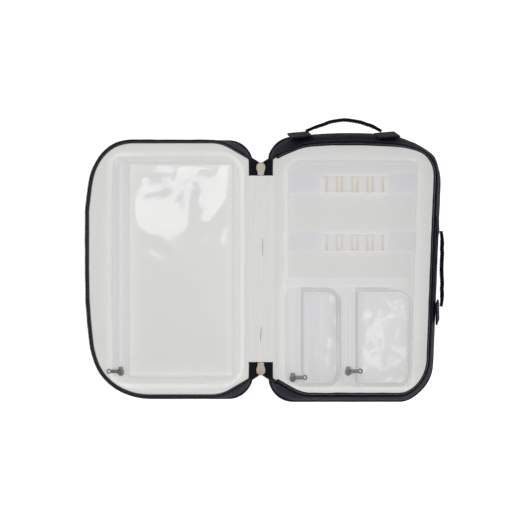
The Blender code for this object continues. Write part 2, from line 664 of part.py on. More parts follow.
# ---------------------------------------------------------------- lid
def make_lid():
    make_shell("lid", in_lid, LID_LEANS, LID_TAPE_LEAN)
    half = RIM_LENGTH / 2
    free = RIM_WIDTH - POCKET_FREE_MARGIN
    box = (POCKET_SPINE_MARGIN, free, -half + POCKET_BOTTOM_MARGIN, half - POCKET_TOP_MARGIN)
    make_lining("lid", in_lid, inset_box(box, -FLOOR_MARGIN))

    # The frame is a raised border: a skirt from the floor, then a flat band round the opening.
    corners, opening_corners = tighter(POCKET_TIGHTER), tighter(OPENING_TIGHTER)
    opening = (
        box[0] + POCKET_BORDER,
        box[1] - POCKET_ZIP_BORDER,
        box[2] + POCKET_BORDER,
        box[3] - POCKET_BORDER,
    )
    top = POCKET_TAPE_LOW + SMALL_TAPE
    slope = POCKET_SLOPE
    skin = POCKET_SKIN
    profile = (
        (box, 0, POCKET_LOW, corners),
        (box, slope, top, corners),
        (opening, 0, top, opening_corners),
        (opening, 0, top - skin, opening_corners),
        (box, slope + skin, top - skin, tighter(POCKET_TIGHTER, skin)),
        (box, skin, POCKET_LOW, tighter(POCKET_TIGHTER, skin)),
    )
    loops = []
    for section, inset, z, radii in profile:
        loops.append([(u, v, z) for u, v in outline(inset_box(section, inset), radii)])
    loft("lid_pocket_frame", in_lid, loops, "white_lining", ring=True)

    middle = opening[1] - POCKET_ZIP_HALF
    v_range = (opening[2] + POCKET_ZIP_SHORT, opening[3] - POCKET_ZIP_SHORT)
    reach = (POCKET_ZIP_HALF - FIT, POCKET_ZIP_HALF - FIT)
    make_small_zip("lid_pocket", in_lid, middle, reach, v_range, POCKET_TAPE_LOW, (0, POCKET_TAPER))
    window = (
        opening[0] - WINDOW_LAP,
        middle - POCKET_ZIP_HALF + FIT + WINDOW_LAP,
        opening[2] - WINDOW_LAP,
        opening[3] + WINDOW_LAP,
    )
    slab("lid_pocket_window", in_lid, window, (opening_corners[0], 1 * MM), top + FIT, FILM, "clear_vinyl")


# ---------------------------------------------------------------- spine and main zip ends
def make_spine():
    """The strip between the fold lines, with the closed ends of the main zip and its two sliders."""
    side = SPINE_WIDTH / 2 - SPINE_SIDE_GAP
    room = ZIP_TAPE + CHAIN_THICK
    lining_low = SHELL_DEPTH - SPINE_LINING
    tape_low = lining_low - FIT - ZIP_TAPE
    cover_low = tape_low - FIT - COVER
    size = MAIN_SLIDER
    end = RIM_LENGTH / 2 - RIM_CORNER + SPINE_PAST_CORNER  # where lining and cover stop
    slider_at = end + SLIDER_FROM_SPINE + size["length"] / 2
    tape_end = slider_at + size["length"] / 2
    tape_from = end - ZIP_END_IN_SPINE

    def in_spine(u, v, z):
        return Vector((SPINE_X + u, v, z))

    pad_end = tape_from - FIT
    pad = side - 1 * MM
    pad_box = (-pad, pad, -pad_end, pad_end)
    slab("spine_stiffener", in_spine, pad_box, TAPE_CORNERS, tape_low, ZIP_TAPE, "board")
    box = (-side, side, -end, end)
    slab("spine_cover", in_spine, box, TAPE_CORNERS, cover_low, COVER, "navy_fabric")
    slab("spine_lining", in_spine, box, TAPE_CORNERS, lining_low, SPINE_LINING, "white_lining")

    slot = ZIP_GAP / 2
    slot_from = slider_at - ZIP_SLOT_SHARE * size["length"]
    shape = [(-side, tape_from), (side, tape_from), (side, tape_end), (slot, tape_end)]
    shape += [(slot, slot_from), (-slot, slot_from), (-slot, tape_end), (-side, tape_end)]
    for name, turn in (("top", 0.0), ("bottom", math.pi)):
        around = Matrix.Translation((SPINE_X, 0, 0)) @ Matrix.Rotation(turn, 4, "Z")
        low = around @ Matrix.Translation((0, 0, tape_low))
        prism(f"{name}_zip_end", [shape], ZIP_TAPE, "navy_webbing", low)
        middle = Matrix.Translation((0, slider_at, tape_low + ZIP_TAPE / 2))
        outside_down = Matrix.Rotation(math.pi, 4, "Y")
        stand = around @ middle @ outside_down
        axis = make_slider(f"{name}_main_slider", size, room, False, stand, "champagne_metal")
        hang = stand @ Matrix.Translation((0, 0, axis)) @ Matrix.Rotation(math.radians(90), 4, "X")
        make_pull(f"{name}_main_pull", size, hang, "champagne_metal")


# ---------------------------------------------------------------- handles
def handle_curve(rise):
    """(along, out, width) of a grip's middle line, from one root to the other, as a smooth arch."""
    half = HANDLE_SPAN / 2
    points = []
    for step in range(HANDLE_STEPS + 1):
        share = step / HANDLE_STEPS
        along = -half + HANDLE_SPAN * share
        out = rise * math.sin(math.pi * share) ** 0.8
        opened = min(1, min(share, 1 - share) / HANDLE_TAPER)
        points.append((along, out, STRAP_THICK + (STRAP_WIDTH - STRAP_THICK) * opened))
    return points


def make_handle(name, rise, tilt, matrix):
    """A folded webbing grip on two flat anchors. Along the wall is X, out of it is Z, and the
    strap's width is Y. The grip is turned by tilt on the line that it swings on."""
    line = handle_curve(rise)
    swing = Matrix.Translation((0, 0, HANDLE_ROOT + STRAP_THICK / 2)) @ Matrix.Rotation(tilt, 4, "X")
    mesh = bmesh.new()
    rows = []
    for i, (along, out, width) in enumerate(line):
        before, after = line[max(i - 1, 0)], line[min(i + 1, len(line) - 1)]
        direction = Vector((after[0] - before[0], after[1] - before[1])).normalized()
        side = Vector((-direction.y, direction.x)) * STRAP_THICK / 2
        row = []
        for over, across in ((1, 1), (1, -1), (-1, -1), (-1, 1)):
            point = (along + side.x * over, across * width / 2, out + side.y * over)
            row.append(mesh.verts.new(point))
        rows.append(row)
    for low, high in zip(rows, rows[1:], strict=False):
        for i in range(4):
            j = (i + 1) % 4
            mesh.faces.new((low[i], low[j], high[j], high[i]))
    mesh.faces.new(rows[0][::-1])
    mesh.faces.new(rows[-1])
    bmesh.ops.transform(mesh, matrix=matrix @ swing, verts=mesh.verts)
    finish(f"{name}_grip", mesh, "navy_webbing")
    reach = HANDLE_SPAN / 2 + ANCHOR_LENGTH - 4 * MM
    anchor_at = matrix @ Matrix.Translation((0, 0, FIT))
    for label, low in (("first", -reach), ("second", reach - ANCHOR_LENGTH)):
        shape = outline((low, low + ANCHOR_LENGTH, -ANCHOR_WIDTH / 2, ANCHOR_WIDTH / 2), ANCHOR_CORNERS, 3)
        prism(f"{name}_{label}_anchor", [shape], ANCHOR_THICK, "navy_webbing", anchor_at)


def make_handles():
    """One handle on the top wall, which sticks out level, and one that lies along the free side."""
    middle_z = (GUSSET_LOW + GUSSET_TOP) / 2
    flare = wall_flare(middle_z)
    drop = SHELL_DEPTH - BACK_PIPING_Z
    onto_wall = Matrix.Rotation(math.radians(-90), 4, "X")
    lean = math.atan2(TOP_LEAN, drop)
    at = Matrix.Translation((TOP_HANDLE_SHIFT, RIM_LENGTH / 2 + TOP_LEAN * flare, middle_z))
    make_handle("top_handle", TOP_HANDLE_RISE, -lean, at @ Matrix.Rotation(lean, 4, "X") @ onto_wall)
    lean = math.atan2(FREE_LEAN, drop)
    at = Matrix.Translation((RIM_WIDTH / 2 + FREE_LEAN * flare, SIDE_HANDLE_SHIFT, middle_z))
    at = at @ Matrix.Rotation(math.radians(-90), 4, "Z")
    make_handle("side_handle", SIDE_HANDLE_RISE, 0.0, at @ Matrix.Rotation(lean, 4, "X") @ onto_wall)


for old in list(bpy.data.objects):
    bpy.data.objects.remove(old)
make_back_half()
make_lid()
make_spine()
make_handles()
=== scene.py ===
# %% [markdown]
# # A soft travel jewelry case, open on a table
# The case is two zip-round halves joined by a fabric spine. The frame that is loaded here already
# holds every piece in its true place, so this script only builds the looks around it: cloth that
# bulges and puckers, zips with teeth, clear film that shines, and stitches. Lengths below are in
# millimetres, because that is how such a case is cut, and turn to metres when a mesh is made.

# %% Load the frame
import math

import bpy
import numpy as np
from mathutils import Matrix, Vector, noise


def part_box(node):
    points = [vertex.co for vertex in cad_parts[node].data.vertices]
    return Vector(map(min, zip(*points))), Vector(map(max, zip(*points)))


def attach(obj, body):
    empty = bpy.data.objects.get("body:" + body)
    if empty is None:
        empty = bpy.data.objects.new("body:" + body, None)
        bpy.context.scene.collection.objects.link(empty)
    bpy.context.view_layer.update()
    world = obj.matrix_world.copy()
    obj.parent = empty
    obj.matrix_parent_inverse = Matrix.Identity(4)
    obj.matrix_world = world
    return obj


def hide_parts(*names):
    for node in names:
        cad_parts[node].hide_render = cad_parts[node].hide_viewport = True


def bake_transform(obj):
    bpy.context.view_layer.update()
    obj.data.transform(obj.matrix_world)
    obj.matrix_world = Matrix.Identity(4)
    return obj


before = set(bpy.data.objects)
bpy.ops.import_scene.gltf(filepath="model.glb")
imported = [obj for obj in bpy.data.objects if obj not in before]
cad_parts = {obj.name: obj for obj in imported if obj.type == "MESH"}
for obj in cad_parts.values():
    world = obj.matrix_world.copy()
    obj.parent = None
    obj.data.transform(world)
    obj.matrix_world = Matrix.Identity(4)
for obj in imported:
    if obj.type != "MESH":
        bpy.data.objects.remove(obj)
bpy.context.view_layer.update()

MM = 0.001


def box_of(node):
    """A node's lowest and highest corners, in millimetres."""
    low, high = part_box(node)
    return np.array(low) / MM, np.array(high) / MM


# %% [markdown]
# ## Camera, floor and light
# The case is seen from straight above, from a little over a metre, so its walls lean outwards in
# the view. A long lens keeps that lean small. The light is an even white surround with a big soft
# panel overhead and two small ones. Those are what the window and the pouches mirror back, because
# film that has nothing bright to mirror looks like plain cloth. The floor is white paper on a light
# table, so no shadow falls on it.

# %% Camera and surround
RIM_HEIGHT = 25.0
VIEW_CENTRE = (-98.9, 11.6)
VIEW_HEIGHT = 1300.0  # above the rims
VIEW_WIDTH = 527.9  # at the rims
SENSOR = 36.0

camera_data = bpy.data.cameras.new("camera")
camera_data.sensor_width = SENSOR
camera_data.lens = SENSOR * VIEW_HEIGHT / VIEW_WIDTH
camera = bpy.data.objects.new("camera", camera_data)
camera.location = (VIEW_CENTRE[0] * MM, VIEW_CENTRE[1] * MM, (RIM_HEIGHT + VIEW_HEIGHT) * MM)
bpy.context.scene.collection.objects.link(camera)
bpy.context.scene.camera = camera
bpy.context.scene.view_settings.view_transform = "Standard"

surround = bpy.data.worlds.new("white_surround")
surround.use_nodes = True
surround.node_tree.nodes["Background"].inputs["Color"].default_value = (1, 1, 1, 1)
surround.node_tree.nodes["Background"].inputs["Strength"].default_value = 0.48
bpy.context.scene.world = surround


def panel_light(name, at, size, watts):
    """A rectangular light at a height, facing the middle of the case."""
    light = bpy.data.lights.new(name, "AREA")
    light.shape = "RECTANGLE"
    light.size, light.size_y = size[0] * MM, size[1] * MM
    light.energy = watts
    lamp = bpy.data.objects.new(name, light)
    lamp.location = Vector(at) * MM
    aim = Vector((-98, 0, 0)) * MM - lamp.location
    lamp.rotation_euler = aim.to_track_quat("-Z", "Y").to_euler()
    bpy.context.scene.collection.objects.link(lamp)


panel_light("overhead_panel", (200, 350, 1800), (1300, 1300), 2.6)
panel_light("film_glint", (-255, 158, 1340), (230, 150), 0.62)
panel_light("pouch_glint", (179, -162, 1340), (160, 100), 0.22)
print("lens", round(camera_data.lens, 1), "mm")

# %% Floor
bpy.ops.object.select_all(action="DESELECT")
bpy.ops.mesh.primitive_plane_add(size=6, location=(0, 0, -0.0004))
floor = bpy.context.object
floor.name = "floor"
paper = bpy.data.materials.new("floor_paper")
paper.use_nodes = True
paper_shader = paper.node_tree.nodes["Principled BSDF"]
paper_shader.inputs["Base Color"].default_value = (0.93, 0.93, 0.93, 1)
paper_shader.inputs["Roughness"].default_value = 1.0
paper_shader.inputs["Emission Color"].default_value = (1, 1, 1, 1)
paper_shader.inputs["Emission Strength"].default_value = 0.85
floor.data.materials.append(paper)

# %% [markdown]
# ## Cloth finishes
# Every cloth here is woven, so one recipe makes them all: two sets of yarns that pass over and
# under each other in turn, with painted shade in the gaps between them. The yarns follow the
# piece's own map, which is laid out in metres, so a weave keeps its true size on every piece. A
# slow cloud of tone on top keeps large areas from looking printed. The white cloths also glow
# faintly, a painted light that lifts the shade on them. The navy ones are duller than plastic, so
# their shine is turned down.

# %% Node helpers


def add(tree, kind, inputs=None, **settings):
    """A new node with its settings, whose inputs are values or other nodes' outputs."""
    made = tree.nodes.new(kind)
    for name, value in settings.items():
        setattr(made, name, value)
    for name, value in (inputs or {}).items():
        socket = made.inputs[name]
        if isinstance(value, bpy.types.NodeSocket):
            tree.links.new(value, socket)
        else:
            socket.default_value = value
    return made


def maths(tree, operation, *values):
    """A Math node's result."""
    inputs = dict(enumerate(values))
    return add(tree, "ShaderNodeMath", inputs, operation=operation).outputs[0]


def start_finish(name, roughness, **sockets):
    """A material with its Principled shader, ready for a colour and a bump."""
    made = bpy.data.materials.new(name)
    made.use_nodes = True
    shader = made.node_tree.nodes["Principled BSDF"]
    shader.inputs["Roughness"].default_value = roughness
    for socket, value in sockets.items():
        shader.inputs[socket.replace("_", " ")].default_value = value
    return made, made.node_tree, shader


# %% The weave recipe


def yarns(tree, pitch_u, pitch_v):
    """Height of a plain weave, 0 between the yarns and 1 on top of one."""
    uv = add(tree, "ShaderNodeTexCoord").outputs["UV"]
    split = add(tree, "ShaderNodeSeparateXYZ", {"Vector": uv})
    across = maths(tree, "MULTIPLY", split.outputs["X"], 1 / (pitch_u * MM))
    along = maths(tree, "MULTIPLY", split.outputs["Y"], 1 / (pitch_v * MM))
    warp = maths(tree, "ABSOLUTE", maths(tree, "SINE", maths(tree, "MULTIPLY", across, math.pi)))
    weft = maths(tree, "ABSOLUTE", maths(tree, "SINE", maths(tree, "MULTIPLY", along, math.pi)))
    steps = maths(tree, "ADD", maths(tree, "FLOOR", across), maths(tree, "FLOOR", along))
    over = maths(tree, "FLOORED_MODULO", steps, 2.0)
    mix = add(tree, "ShaderNodeMix", {0: over, 2: warp, 3: weft}, data_type="FLOAT")
    return mix.outputs[0]


def woven(name, colour, pitch, depth, roughness, gap_shade, cloud, creases=0.0, **sockets):
    """A woven finish. pitch is (across, along) between yarns and depth the bump's, in mm. gap_shade
    darkens the gaps between yarns as painted shade, cloud varies the tone, and creases is the depth
    of soft dents in mm."""
    made, tree, shader = start_finish(name, roughness, **sockets)
    height = yarns(tree, *pitch)
    place = add(tree, "ShaderNodeTexCoord").outputs["Object"]
    slow = add(tree, "ShaderNodeTexNoise", {"Vector": place, "Scale": 45.0, "Detail": 4.0})
    # Painted shade: the gaps between the yarns are darkened, beside the bump that dents them.
    low = tuple(part * (1 - gap_shade) for part in colour)
    ramp = add(tree, "ShaderNodeMix", {0: height, 6: (*low, 1), 7: (*colour, 1)}, data_type="RGBA")
    tone = maths(tree, "MULTIPLY_ADD", slow.outputs["Fac"], 2 * cloud, 1 - cloud)
    grey = add(tree, "ShaderNodeCombineColor", {0: tone, 1: tone, 2: tone})
    both = {0: 1.0, 6: ramp.outputs[2], 7: grey.outputs[0]}
    tinted = add(tree, "ShaderNodeMix", both, data_type="RGBA", blend_type="MULTIPLY")
    tree.links.new(tinted.outputs[2], shader.inputs["Base Color"])
    bump = add(tree, "ShaderNodeBump", {"Height": height, "Distance": depth * MM, "Strength": 0.6})
    if creases:
        soft = add(tree, "ShaderNodeTexNoise", {"Vector": place, "Scale": 60.0, "Detail": 3.0})
        inputs = {"Height": soft.outputs["Fac"], "Distance": creases * MM, "Strength": 0.5}
        inputs["Normal"] = bump.outputs["Normal"]
        bump = add(tree, "ShaderNodeBump", inputs)
    tree.links.new(bump.outputs["Normal"], shader.inputs["Normal"])
    return made


# %% Cloths of the case
DARK = {"Specular_IOR_Level": 0.18}
NAVY = (0.012, 0.014, 0.028)
oxford = woven("navy_oxford", NAVY, (0.55, 0.55), 0.16, 0.72, 0.35, 0.10, 1.2, **DARK)
piping_cloth = woven(
    "navy_piping_cloth", (0.019, 0.022, 0.038), (0.4, 0.4), 0.08, 0.6, 0.25, 0.08, **DARK
)
zip_cloth = woven("navy_zip_cloth", (0.009, 0.011, 0.018), (0.7, 0.35), 0.12, 0.7, 0.35, 0.06, **DARK)
webbing = woven("navy_webbing_cloth", (0.007, 0.008, 0.015), (1.1, 0.7), 0.28, 0.75, 0.4, 0.08, **DARK)
# Painted light: the white cloths, nylon and thread glow a little, which lifts the shade inside the trays.
PAINTED_GLOW = {"Emission_Color": (0.83, 0.83, 0.825, 1), "Emission_Strength": 0.225}
LINING = (0.85, 0.845, 0.835)
lining_cloth = woven(
    "white_lining_cloth", LINING, (0.35, 0.35), 0.05, 0.7, 0.05, 0.015, 0.5, **PAINTED_GLOW
)
panel_cloth = woven(
    "white_panel_cloth", (0.80, 0.798, 0.792), (0.35, 0.35), 0.05, 0.75, 0.05, 0.012, 0.35, **PAINTED_GLOW
)
binding_cloth = woven(
    "white_binding_tape", (0.87, 0.87, 0.865), (0.9, 0.5), 0.12, 0.75, 0.10, 0.01, **PAINTED_GLOW
)
band_cloth = woven("white_band_cloth", (0.87, 0.87, 0.87), (0.8, 0.45), 0.10, 0.75, 0.08, 0.01, **PAINTED_GLOW)
loop_cloth = woven(
    "lavender_loop_cloth", (0.87, 0.868, 0.905), (0.6, 0.6), 0.22, 0.95, 0.12, 0.02, **PAINTED_GLOW
)
print(len(bpy.data.materials), "finishes so far")

# %% [markdown]
# ## Outlines and sheets
# Each half is a rounded rectangle seen from above, and nearly every cloth piece is that outline
# swept or drawn in. A real sewn outline is never exact: the lid's free side pulls in towards its
# lower corner, and the back half's leans. Both are bent here in one place, so that cloth, piping
# and zip all bend together.

# %% Outlines
RIM = (166.0, 262.0)  # width and length of each half, from the fold to its free side
FOLD_X, LID_FOLD_X = -83.0, -108.0
BACK_CORNERS = (38.0, 38.0, 38.0, 38.0)  # spine low, free low, free high, spine high
LID_CORNERS = (38.0, 64.0, 48.0, 38.0)
ARC_STEPS, ACROSS_STEPS, ALONG_STEPS = 14, 26, 40


def rounded(box, corners):
    """A rounded rectangle as points (u, v), with the same number of steps whatever its size."""
    low_u, high_u, low_v, high_v = box
    centres = (
        (low_u + corners[0], low_v + corners[0], 180, corners[0]),
        (high_u - corners[1], low_v + corners[1], 270, corners[1]),
        (high_u - corners[2], high_v - corners[2], 0, corners[2]),
        (low_u + corners[3], high_v - corners[3], 90, corners[3]),
    )
    arcs = []
    for centre_u, centre_v, start, radius in centres:
        turns = np.radians(start + 90 * np.arange(ARC_STEPS + 1) / ARC_STEPS)
        arcs.append(np.stack([centre_u + radius * np.cos(turns), centre_v + radius * np.sin(turns)], 1))
    points = []
    for i, arc in enumerate(arcs):
        points.append(arc)
        steps = (ACROSS_STEPS, ALONG_STEPS)[i % 2]
        shares = np.arange(1, steps)[:, None] / steps
        points.append(arc[-1] + (arcs[(i + 1) % 4][0] - arc[-1]) * shares)
    return np.concatenate(points)


def spine_corner(centre_u, centre_v, radius, edge, side):
    """The corner beside the spine: a third of an arc, then straight towards the slider as far as
    the line u = edge, then back along that line. side is 1 at the high end and -1 at the low."""
    turns = np.radians(90 + 30 * np.arange(6) / 5)
    arc = np.stack([centre_u + radius * np.cos(turns), radius * np.sin(turns)], 1)
    drop = (arc[-1][0] - edge) * math.tan(math.radians(30))
    meet = np.array([edge, arc[-1][1] - drop])
    slant = arc[-1] + (meet - arc[-1]) * (np.arange(1, 6) / 5)[:, None]
    back = meet + (np.array([edge, 0.0]) - meet) * (np.arange(1, 5) / 4)[:, None]
    points = np.concatenate([arc, slant, back])
    return np.stack([points[:, 0], centre_v + side * points[:, 1]], 1)


def rim_outline(corners, inset, edge):
    """The rim as the zip shapes it: rounded on the free side, and cut straight at the spine."""
    inner, radii = drawn_in((0.0, RIM[0], -RIM[1] / 2, RIM[1] / 2), corners, inset)
    points = rounded(inner, radii)
    first, last = ARC_STEPS + 1, len(points) - ARC_STEPS - ALONG_STEPS
    low = spine_corner(radii[0] + inset, inner[2] + radii[0], radii[0], edge, -1)
    high = spine_corner(radii[3] + inset, inner[3] - radii[3], radii[3], edge, 1)
    points[:first] = low[::-1]
    points[last:last + first] = high
    shares = np.arange(1, ALONG_STEPS)[:, None] / ALONG_STEPS
    points[last + first:] = high[-1] + (low[-1] - high[-1]) * shares
    return points


def drawn_in(box, corners, inset):
    """The same outline, smaller by inset all round, or larger where inset is negative."""
    low_u, high_u, low_v, high_v = box
    inner = (low_u + inset, high_u - inset, low_v + inset, high_v - inset)
    return inner, tuple(max(corner - inset, 0.5) for corner in corners)


def outwards(points, closed=True):
    """Unit vectors out of an anticlockwise outline, in its plane."""
    if closed:
        along = np.roll(points, -1, 0) - np.roll(points, 1, 0)
    else:
        along = np.gradient(points, axis=0)
    along /= np.linalg.norm(along, axis=1, keepdims=True)
    return np.stack([along[:, 1], -along[:, 0]], 1)


# %% Where the two halves lie
FREE_LEAN, FREE_LEAN_SLOPE = -1.5, 0.041  # how the back half's free side leans
TOP_BOW = 2.6  # how far its top edge falls on both sides of the handle
LID_BOW_AT = (-131, -105, -88, -72, -52, -31, 0, 60, 90, 131)
LID_BOW = (0.5, 2.2, 3.7, 4.0, 1.9, 0.5, 0, 0, 3.6, 3.6)  # how far its free side pulls in


def eased(share):
    share = np.clip(share, 0, 1)
    return share * share * (3 - 2 * share)


def in_back(points):
    """Points (u, v, z) of the back half, u from its fold to its free side, in the frame."""
    u, v, z = np.moveaxis(np.asarray(points, float), -1, 0)
    lean = (FREE_LEAN + FREE_LEAN_SLOPE * v) * eased((u - 120) / 46)
    bow = TOP_BOW * np.minimum(((u - 80) / 48) ** 2, 1.5) * eased((v - 113) / 18)
    return np.stack([FOLD_X + u + lean, v - bow, z], -1)


def in_lid(points):
    """The same for the lid, which lies on the other side of the spine."""
    u, v, z = np.moveaxis(np.asarray(points, float), -1, 0)
    bow = np.interp(v, LID_BOW_AT, LID_BOW) * eased((u - 130) / 36)
    return np.stack([LID_FOLD_X - u + bow, v, z], -1)


def flat_in_lid(points):
    """The same for the lid's zip and window, which stay straight."""
    u, v, z = np.moveaxis(np.asarray(points, float), -1, 0)
    return np.stack([LID_FOLD_X - u, v, z], -1)


def level(points, height):
    """An outline lifted to one height, or to one height for each point."""
    return np.column_stack([points, np.broadcast_to(height, len(points))])


# %% [markdown]
# A sheet is rows of points. Faces join neighbouring rows, and the piece's map is measured along
# the rows and across them, so that yarns keep their size. Thickness comes last, from Solidify.

# %% Sheets


def deselect():
    for other in bpy.context.selected_objects:
        other.select_set(False)


def use(piece):
    """Makes a piece the only selected and the active one."""
    deselect()
    piece.select_set(True)
    bpy.context.view_layer.objects.active = piece


def apply(piece, kind, **settings):
    """Adds a modifier and applies it at once."""
    use(piece)
    modifier = piece.modifiers.new(kind.lower(), kind)
    for name, value in settings.items():
        setattr(modifier, name, value)
    bpy.ops.object.modifier_apply(modifier=modifier.name)


def skin(name, rows, finish, around=False, ring=False, capped=False, thick=0.0, facing="out", smooth=60):
    """A sheet through rows of points in mm. around joins each row's ends, ring joins the last row
    to the first, and capped closes the first and last row, or the last only. A sheet with a
    thickness grows behind the side that faces out from its middle, or up."""
    rows = np.asarray(rows, float)
    count, width = rows.shape[:2]
    steps_along = np.linalg.norm(np.diff(rows, axis=0, append=rows[:1]), axis=2).mean(1)
    steps_across = np.linalg.norm(np.diff(rows, axis=1, append=rows[:, :1]), axis=2).mean(0)
    v_at = np.concatenate([[0], np.cumsum(steps_along)]) * MM
    u_at = np.concatenate([[0], np.cumsum(steps_across)]) * MM
    mesh = bpy.data.meshes.new(name)
    faces, maps = [], []
    for i in range(count if ring else count - 1):
        for j in range(width if around else width - 1):
            k, n = (i + 1) % count, (j + 1) % width
            faces.append((i * width + j, i * width + n, k * width + n, k * width + j))
            maps += [(u_at[j], v_at[i]), (u_at[j + 1], v_at[i])]
            maps += [(u_at[j + 1], v_at[i + 1]), (u_at[j], v_at[i + 1])]
    if capped:
        for row, turn in ((0, -1), (count - 1, 1))[capped == "last" :]:
            cap = [row * width + j for j in range(width)][::turn]
            faces.append(tuple(cap))
            maps += [tuple(rows[at // width, at % width, :2] * MM) for at in cap]
    mesh.from_pydata((rows.reshape(-1, 3) * MM).tolist(), [], faces)
    mesh.uv_layers.new(name="UVMap").data.foreach_set("uv", np.array(maps, np.float32).ravel())
    piece = bpy.data.objects.new(name, mesh)
    bpy.context.scene.collection.objects.link(piece)
    mesh.materials.append(finish)
    if thick:
        middle = rows.reshape(-1, 3).mean(0) * MM
        towards = 0.0
        for face in mesh.polygons:
            away = face.center - Vector(middle) if facing == "out" else Vector((0, 0, 1))
            towards += face.normal.dot(away) * face.area
        if towards < 0:
            mesh.flip_normals()
        apply(piece, "SOLIDIFY", thickness=thick * MM, offset=-1.0)
    elif around and (capped or ring):
        face_out(piece)
    use(piece)
    bpy.ops.object.shade_smooth_by_angle(angle=math.radians(smooth))
    return piece


def face_out(piece):
    use(piece)
    bpy.ops.object.mode_set(mode="EDIT")
    bpy.ops.mesh.select_all(action="SELECT")
    bpy.ops.mesh.normals_make_consistent(inside=False)
    bpy.ops.object.mode_set(mode="OBJECT")


def settle(piece, body, slot, *nodes):
    """Puts a piece on its body, in place of those nodes. Its slot, meant for its finish, is not used."""
    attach(piece, body)
    if nodes:
        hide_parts(*nodes)
    print(f"{piece.name}: {len(piece.data.polygons)} faces")
    return piece


def ripple(points, size, seed):
    """A smooth random value from about -1 to 1 for each point, over bumps of that size in mm."""
    flat = np.asarray(points, float).reshape(-1, 3) / size
    values = [noise.noise(Vector(at) + Vector((seed * 7.3, seed * 3.1, seed))) for at in flat]
    return np.array(values).reshape(np.asarray(points).shape[:-1])

# %% [markdown]
# ## The two shells
# Each half is a shallow box of navy cloth: a bottom cover, and a wall that slopes up from it to
# the rim. On the back half the wall slopes a lot, which is why it shows from above. The wall is
# drawn between two outlines, bellied outwards a little, and given slow wrinkles. Under the lining
# lie a stiffener and a foam pad, which shape the shell but never show.

# %% Measures of a shell
COVER_Z = 1.9
WALL_LOW, WALL_HIGH = 3.8, 21.8
# How far the cover reaches beyond the rim at the top, free side, bottom and spine, and how much
# rounder its upper free corner is.
BACK_LEANS = (9.0, 5.5, 6.5, 3.0, 14.0)
LID_LEANS = (1.5, 1.0, 3.5, 3.0, 0.0)
COVER_TIGHTER = 14.0  # how much smaller the cover's corners are beside the spine
HANDLE_SIDE_SWELL = {"back": 1.6, "lid": 0.0}  # more belly under the carry handle


def wall_outline(corners, leans, share, inset=0.0):
    """The shell's outline part of the way down, from share 0 at the rim to 1 at the cover."""
    top, free, bottom, spine, rounder = leans
    corners_there = np.array(corners) + (-COVER_TIGHTER, 0.0, rounder, -COVER_TIGHTER)
    box = (-spine, RIM[0] + free, -RIM[1] / 2 - bottom, RIM[1] / 2 + top)
    cover = rounded(*drawn_in(box, corners_there, inset))
    return (1 - share) * rim_outline(corners, inset, inset) + share * cover


def down_the_wall(height):
    return (RIM_HEIGHT - height) / (RIM_HEIGHT - COVER_Z)


def make_wall(half, place, corners, leans, belly):
    rows = []
    for share in np.linspace(0, 1, 10):
        height = WALL_HIGH + (WALL_LOW - WALL_HIGH) * share
        line = wall_outline(corners, leans, down_the_wall(height))
        spots = level(line, height)
        full = belly + HANDLE_SIDE_SWELL[half] * eased((line[:, 1] - 95) / 25)
        swell = full * math.sin(math.pi * share) * (1 + 0.25 * ripple(spots, 34, 1))
        crease = 0.5 * math.sin(math.pi * share) * ripple(spots, 9, 2)
        away = np.where(line[:, 0] < 1.0, 0.0, swell + crease)
        rows.append(level(line + outwards(line) * away[:, None], height))
    return skin(f"{half}_wall", place(np.array(rows)), oxford, around=True, thick=1.1)


COVER_PROFILE = (
    (76, 0.2), (40, 0.12), (12, 0.0), (4, 0.0), (1.9, 0.1), (1.5, 0.7), (1.9, 1.35),
    (1.5, 1.85), (1.9, 1.25), (4, 1.15), (12, 1.15), (40, 1.27), (76, 1.35),
)  # inset from the edge, and height: out along the underside, round the edge, and back above


def make_cover(half, place, corners, leans):
    """The bottom cloth, a little dished towards its middle."""
    rows = [level(wall_outline(corners, leans, 1.0, inset), height) for inset, height in COVER_PROFILE]
    return skin(f"{half}_bottom_cloth", place(np.array(rows)), oxford, around=True, capped=True)


# %% Walls and covers
SHELLS = {
    "back": (in_back, BACK_CORNERS, BACK_LEANS, "back_half", 1.6),
    "lid": (in_lid, LID_CORNERS, LID_LEANS, "lid", 1.2),
}
for half, (place, corners, leans, body, belly) in SHELLS.items():
    wall = make_wall(half, place, corners, leans, belly)
    settle(wall, body, "navy_fabric", f"{half}_gusset")
    settle(make_cover(half, place, corners, leans), body, "navy_fabric", f"{half}_cover")


# %% Stiffener and foam, under the lining
board_finish, board_tree, board_shader = start_finish("grey_board", 0.65)
grain = add(board_tree, "ShaderNodeTexNoise", {"Scale": 420.0, "Detail": 6.0})
spot = {0: grain.outputs["Fac"], 6: (0.24, 0.24, 0.26, 1), 7: (0.36, 0.36, 0.38, 1)}
mixed = add(board_tree, "ShaderNodeMix", spot, data_type="RGBA")
board_tree.links.new(mixed.outputs[2], board_shader.inputs["Base Color"])
foam_finish, foam_tree, foam_shader = start_finish("pale_foam", 0.95)
cells = add(foam_tree, "ShaderNodeTexVoronoi", {"Scale": 900.0})
spot = {0: cells.outputs["Distance"], 6: (0.55, 0.53, 0.48, 1), 7: (0.78, 0.76, 0.70, 1)}
mixed = add(foam_tree, "ShaderNodeMix", spot, data_type="RGBA")
foam_tree.links.new(mixed.outputs[2], foam_shader.inputs["Base Color"])

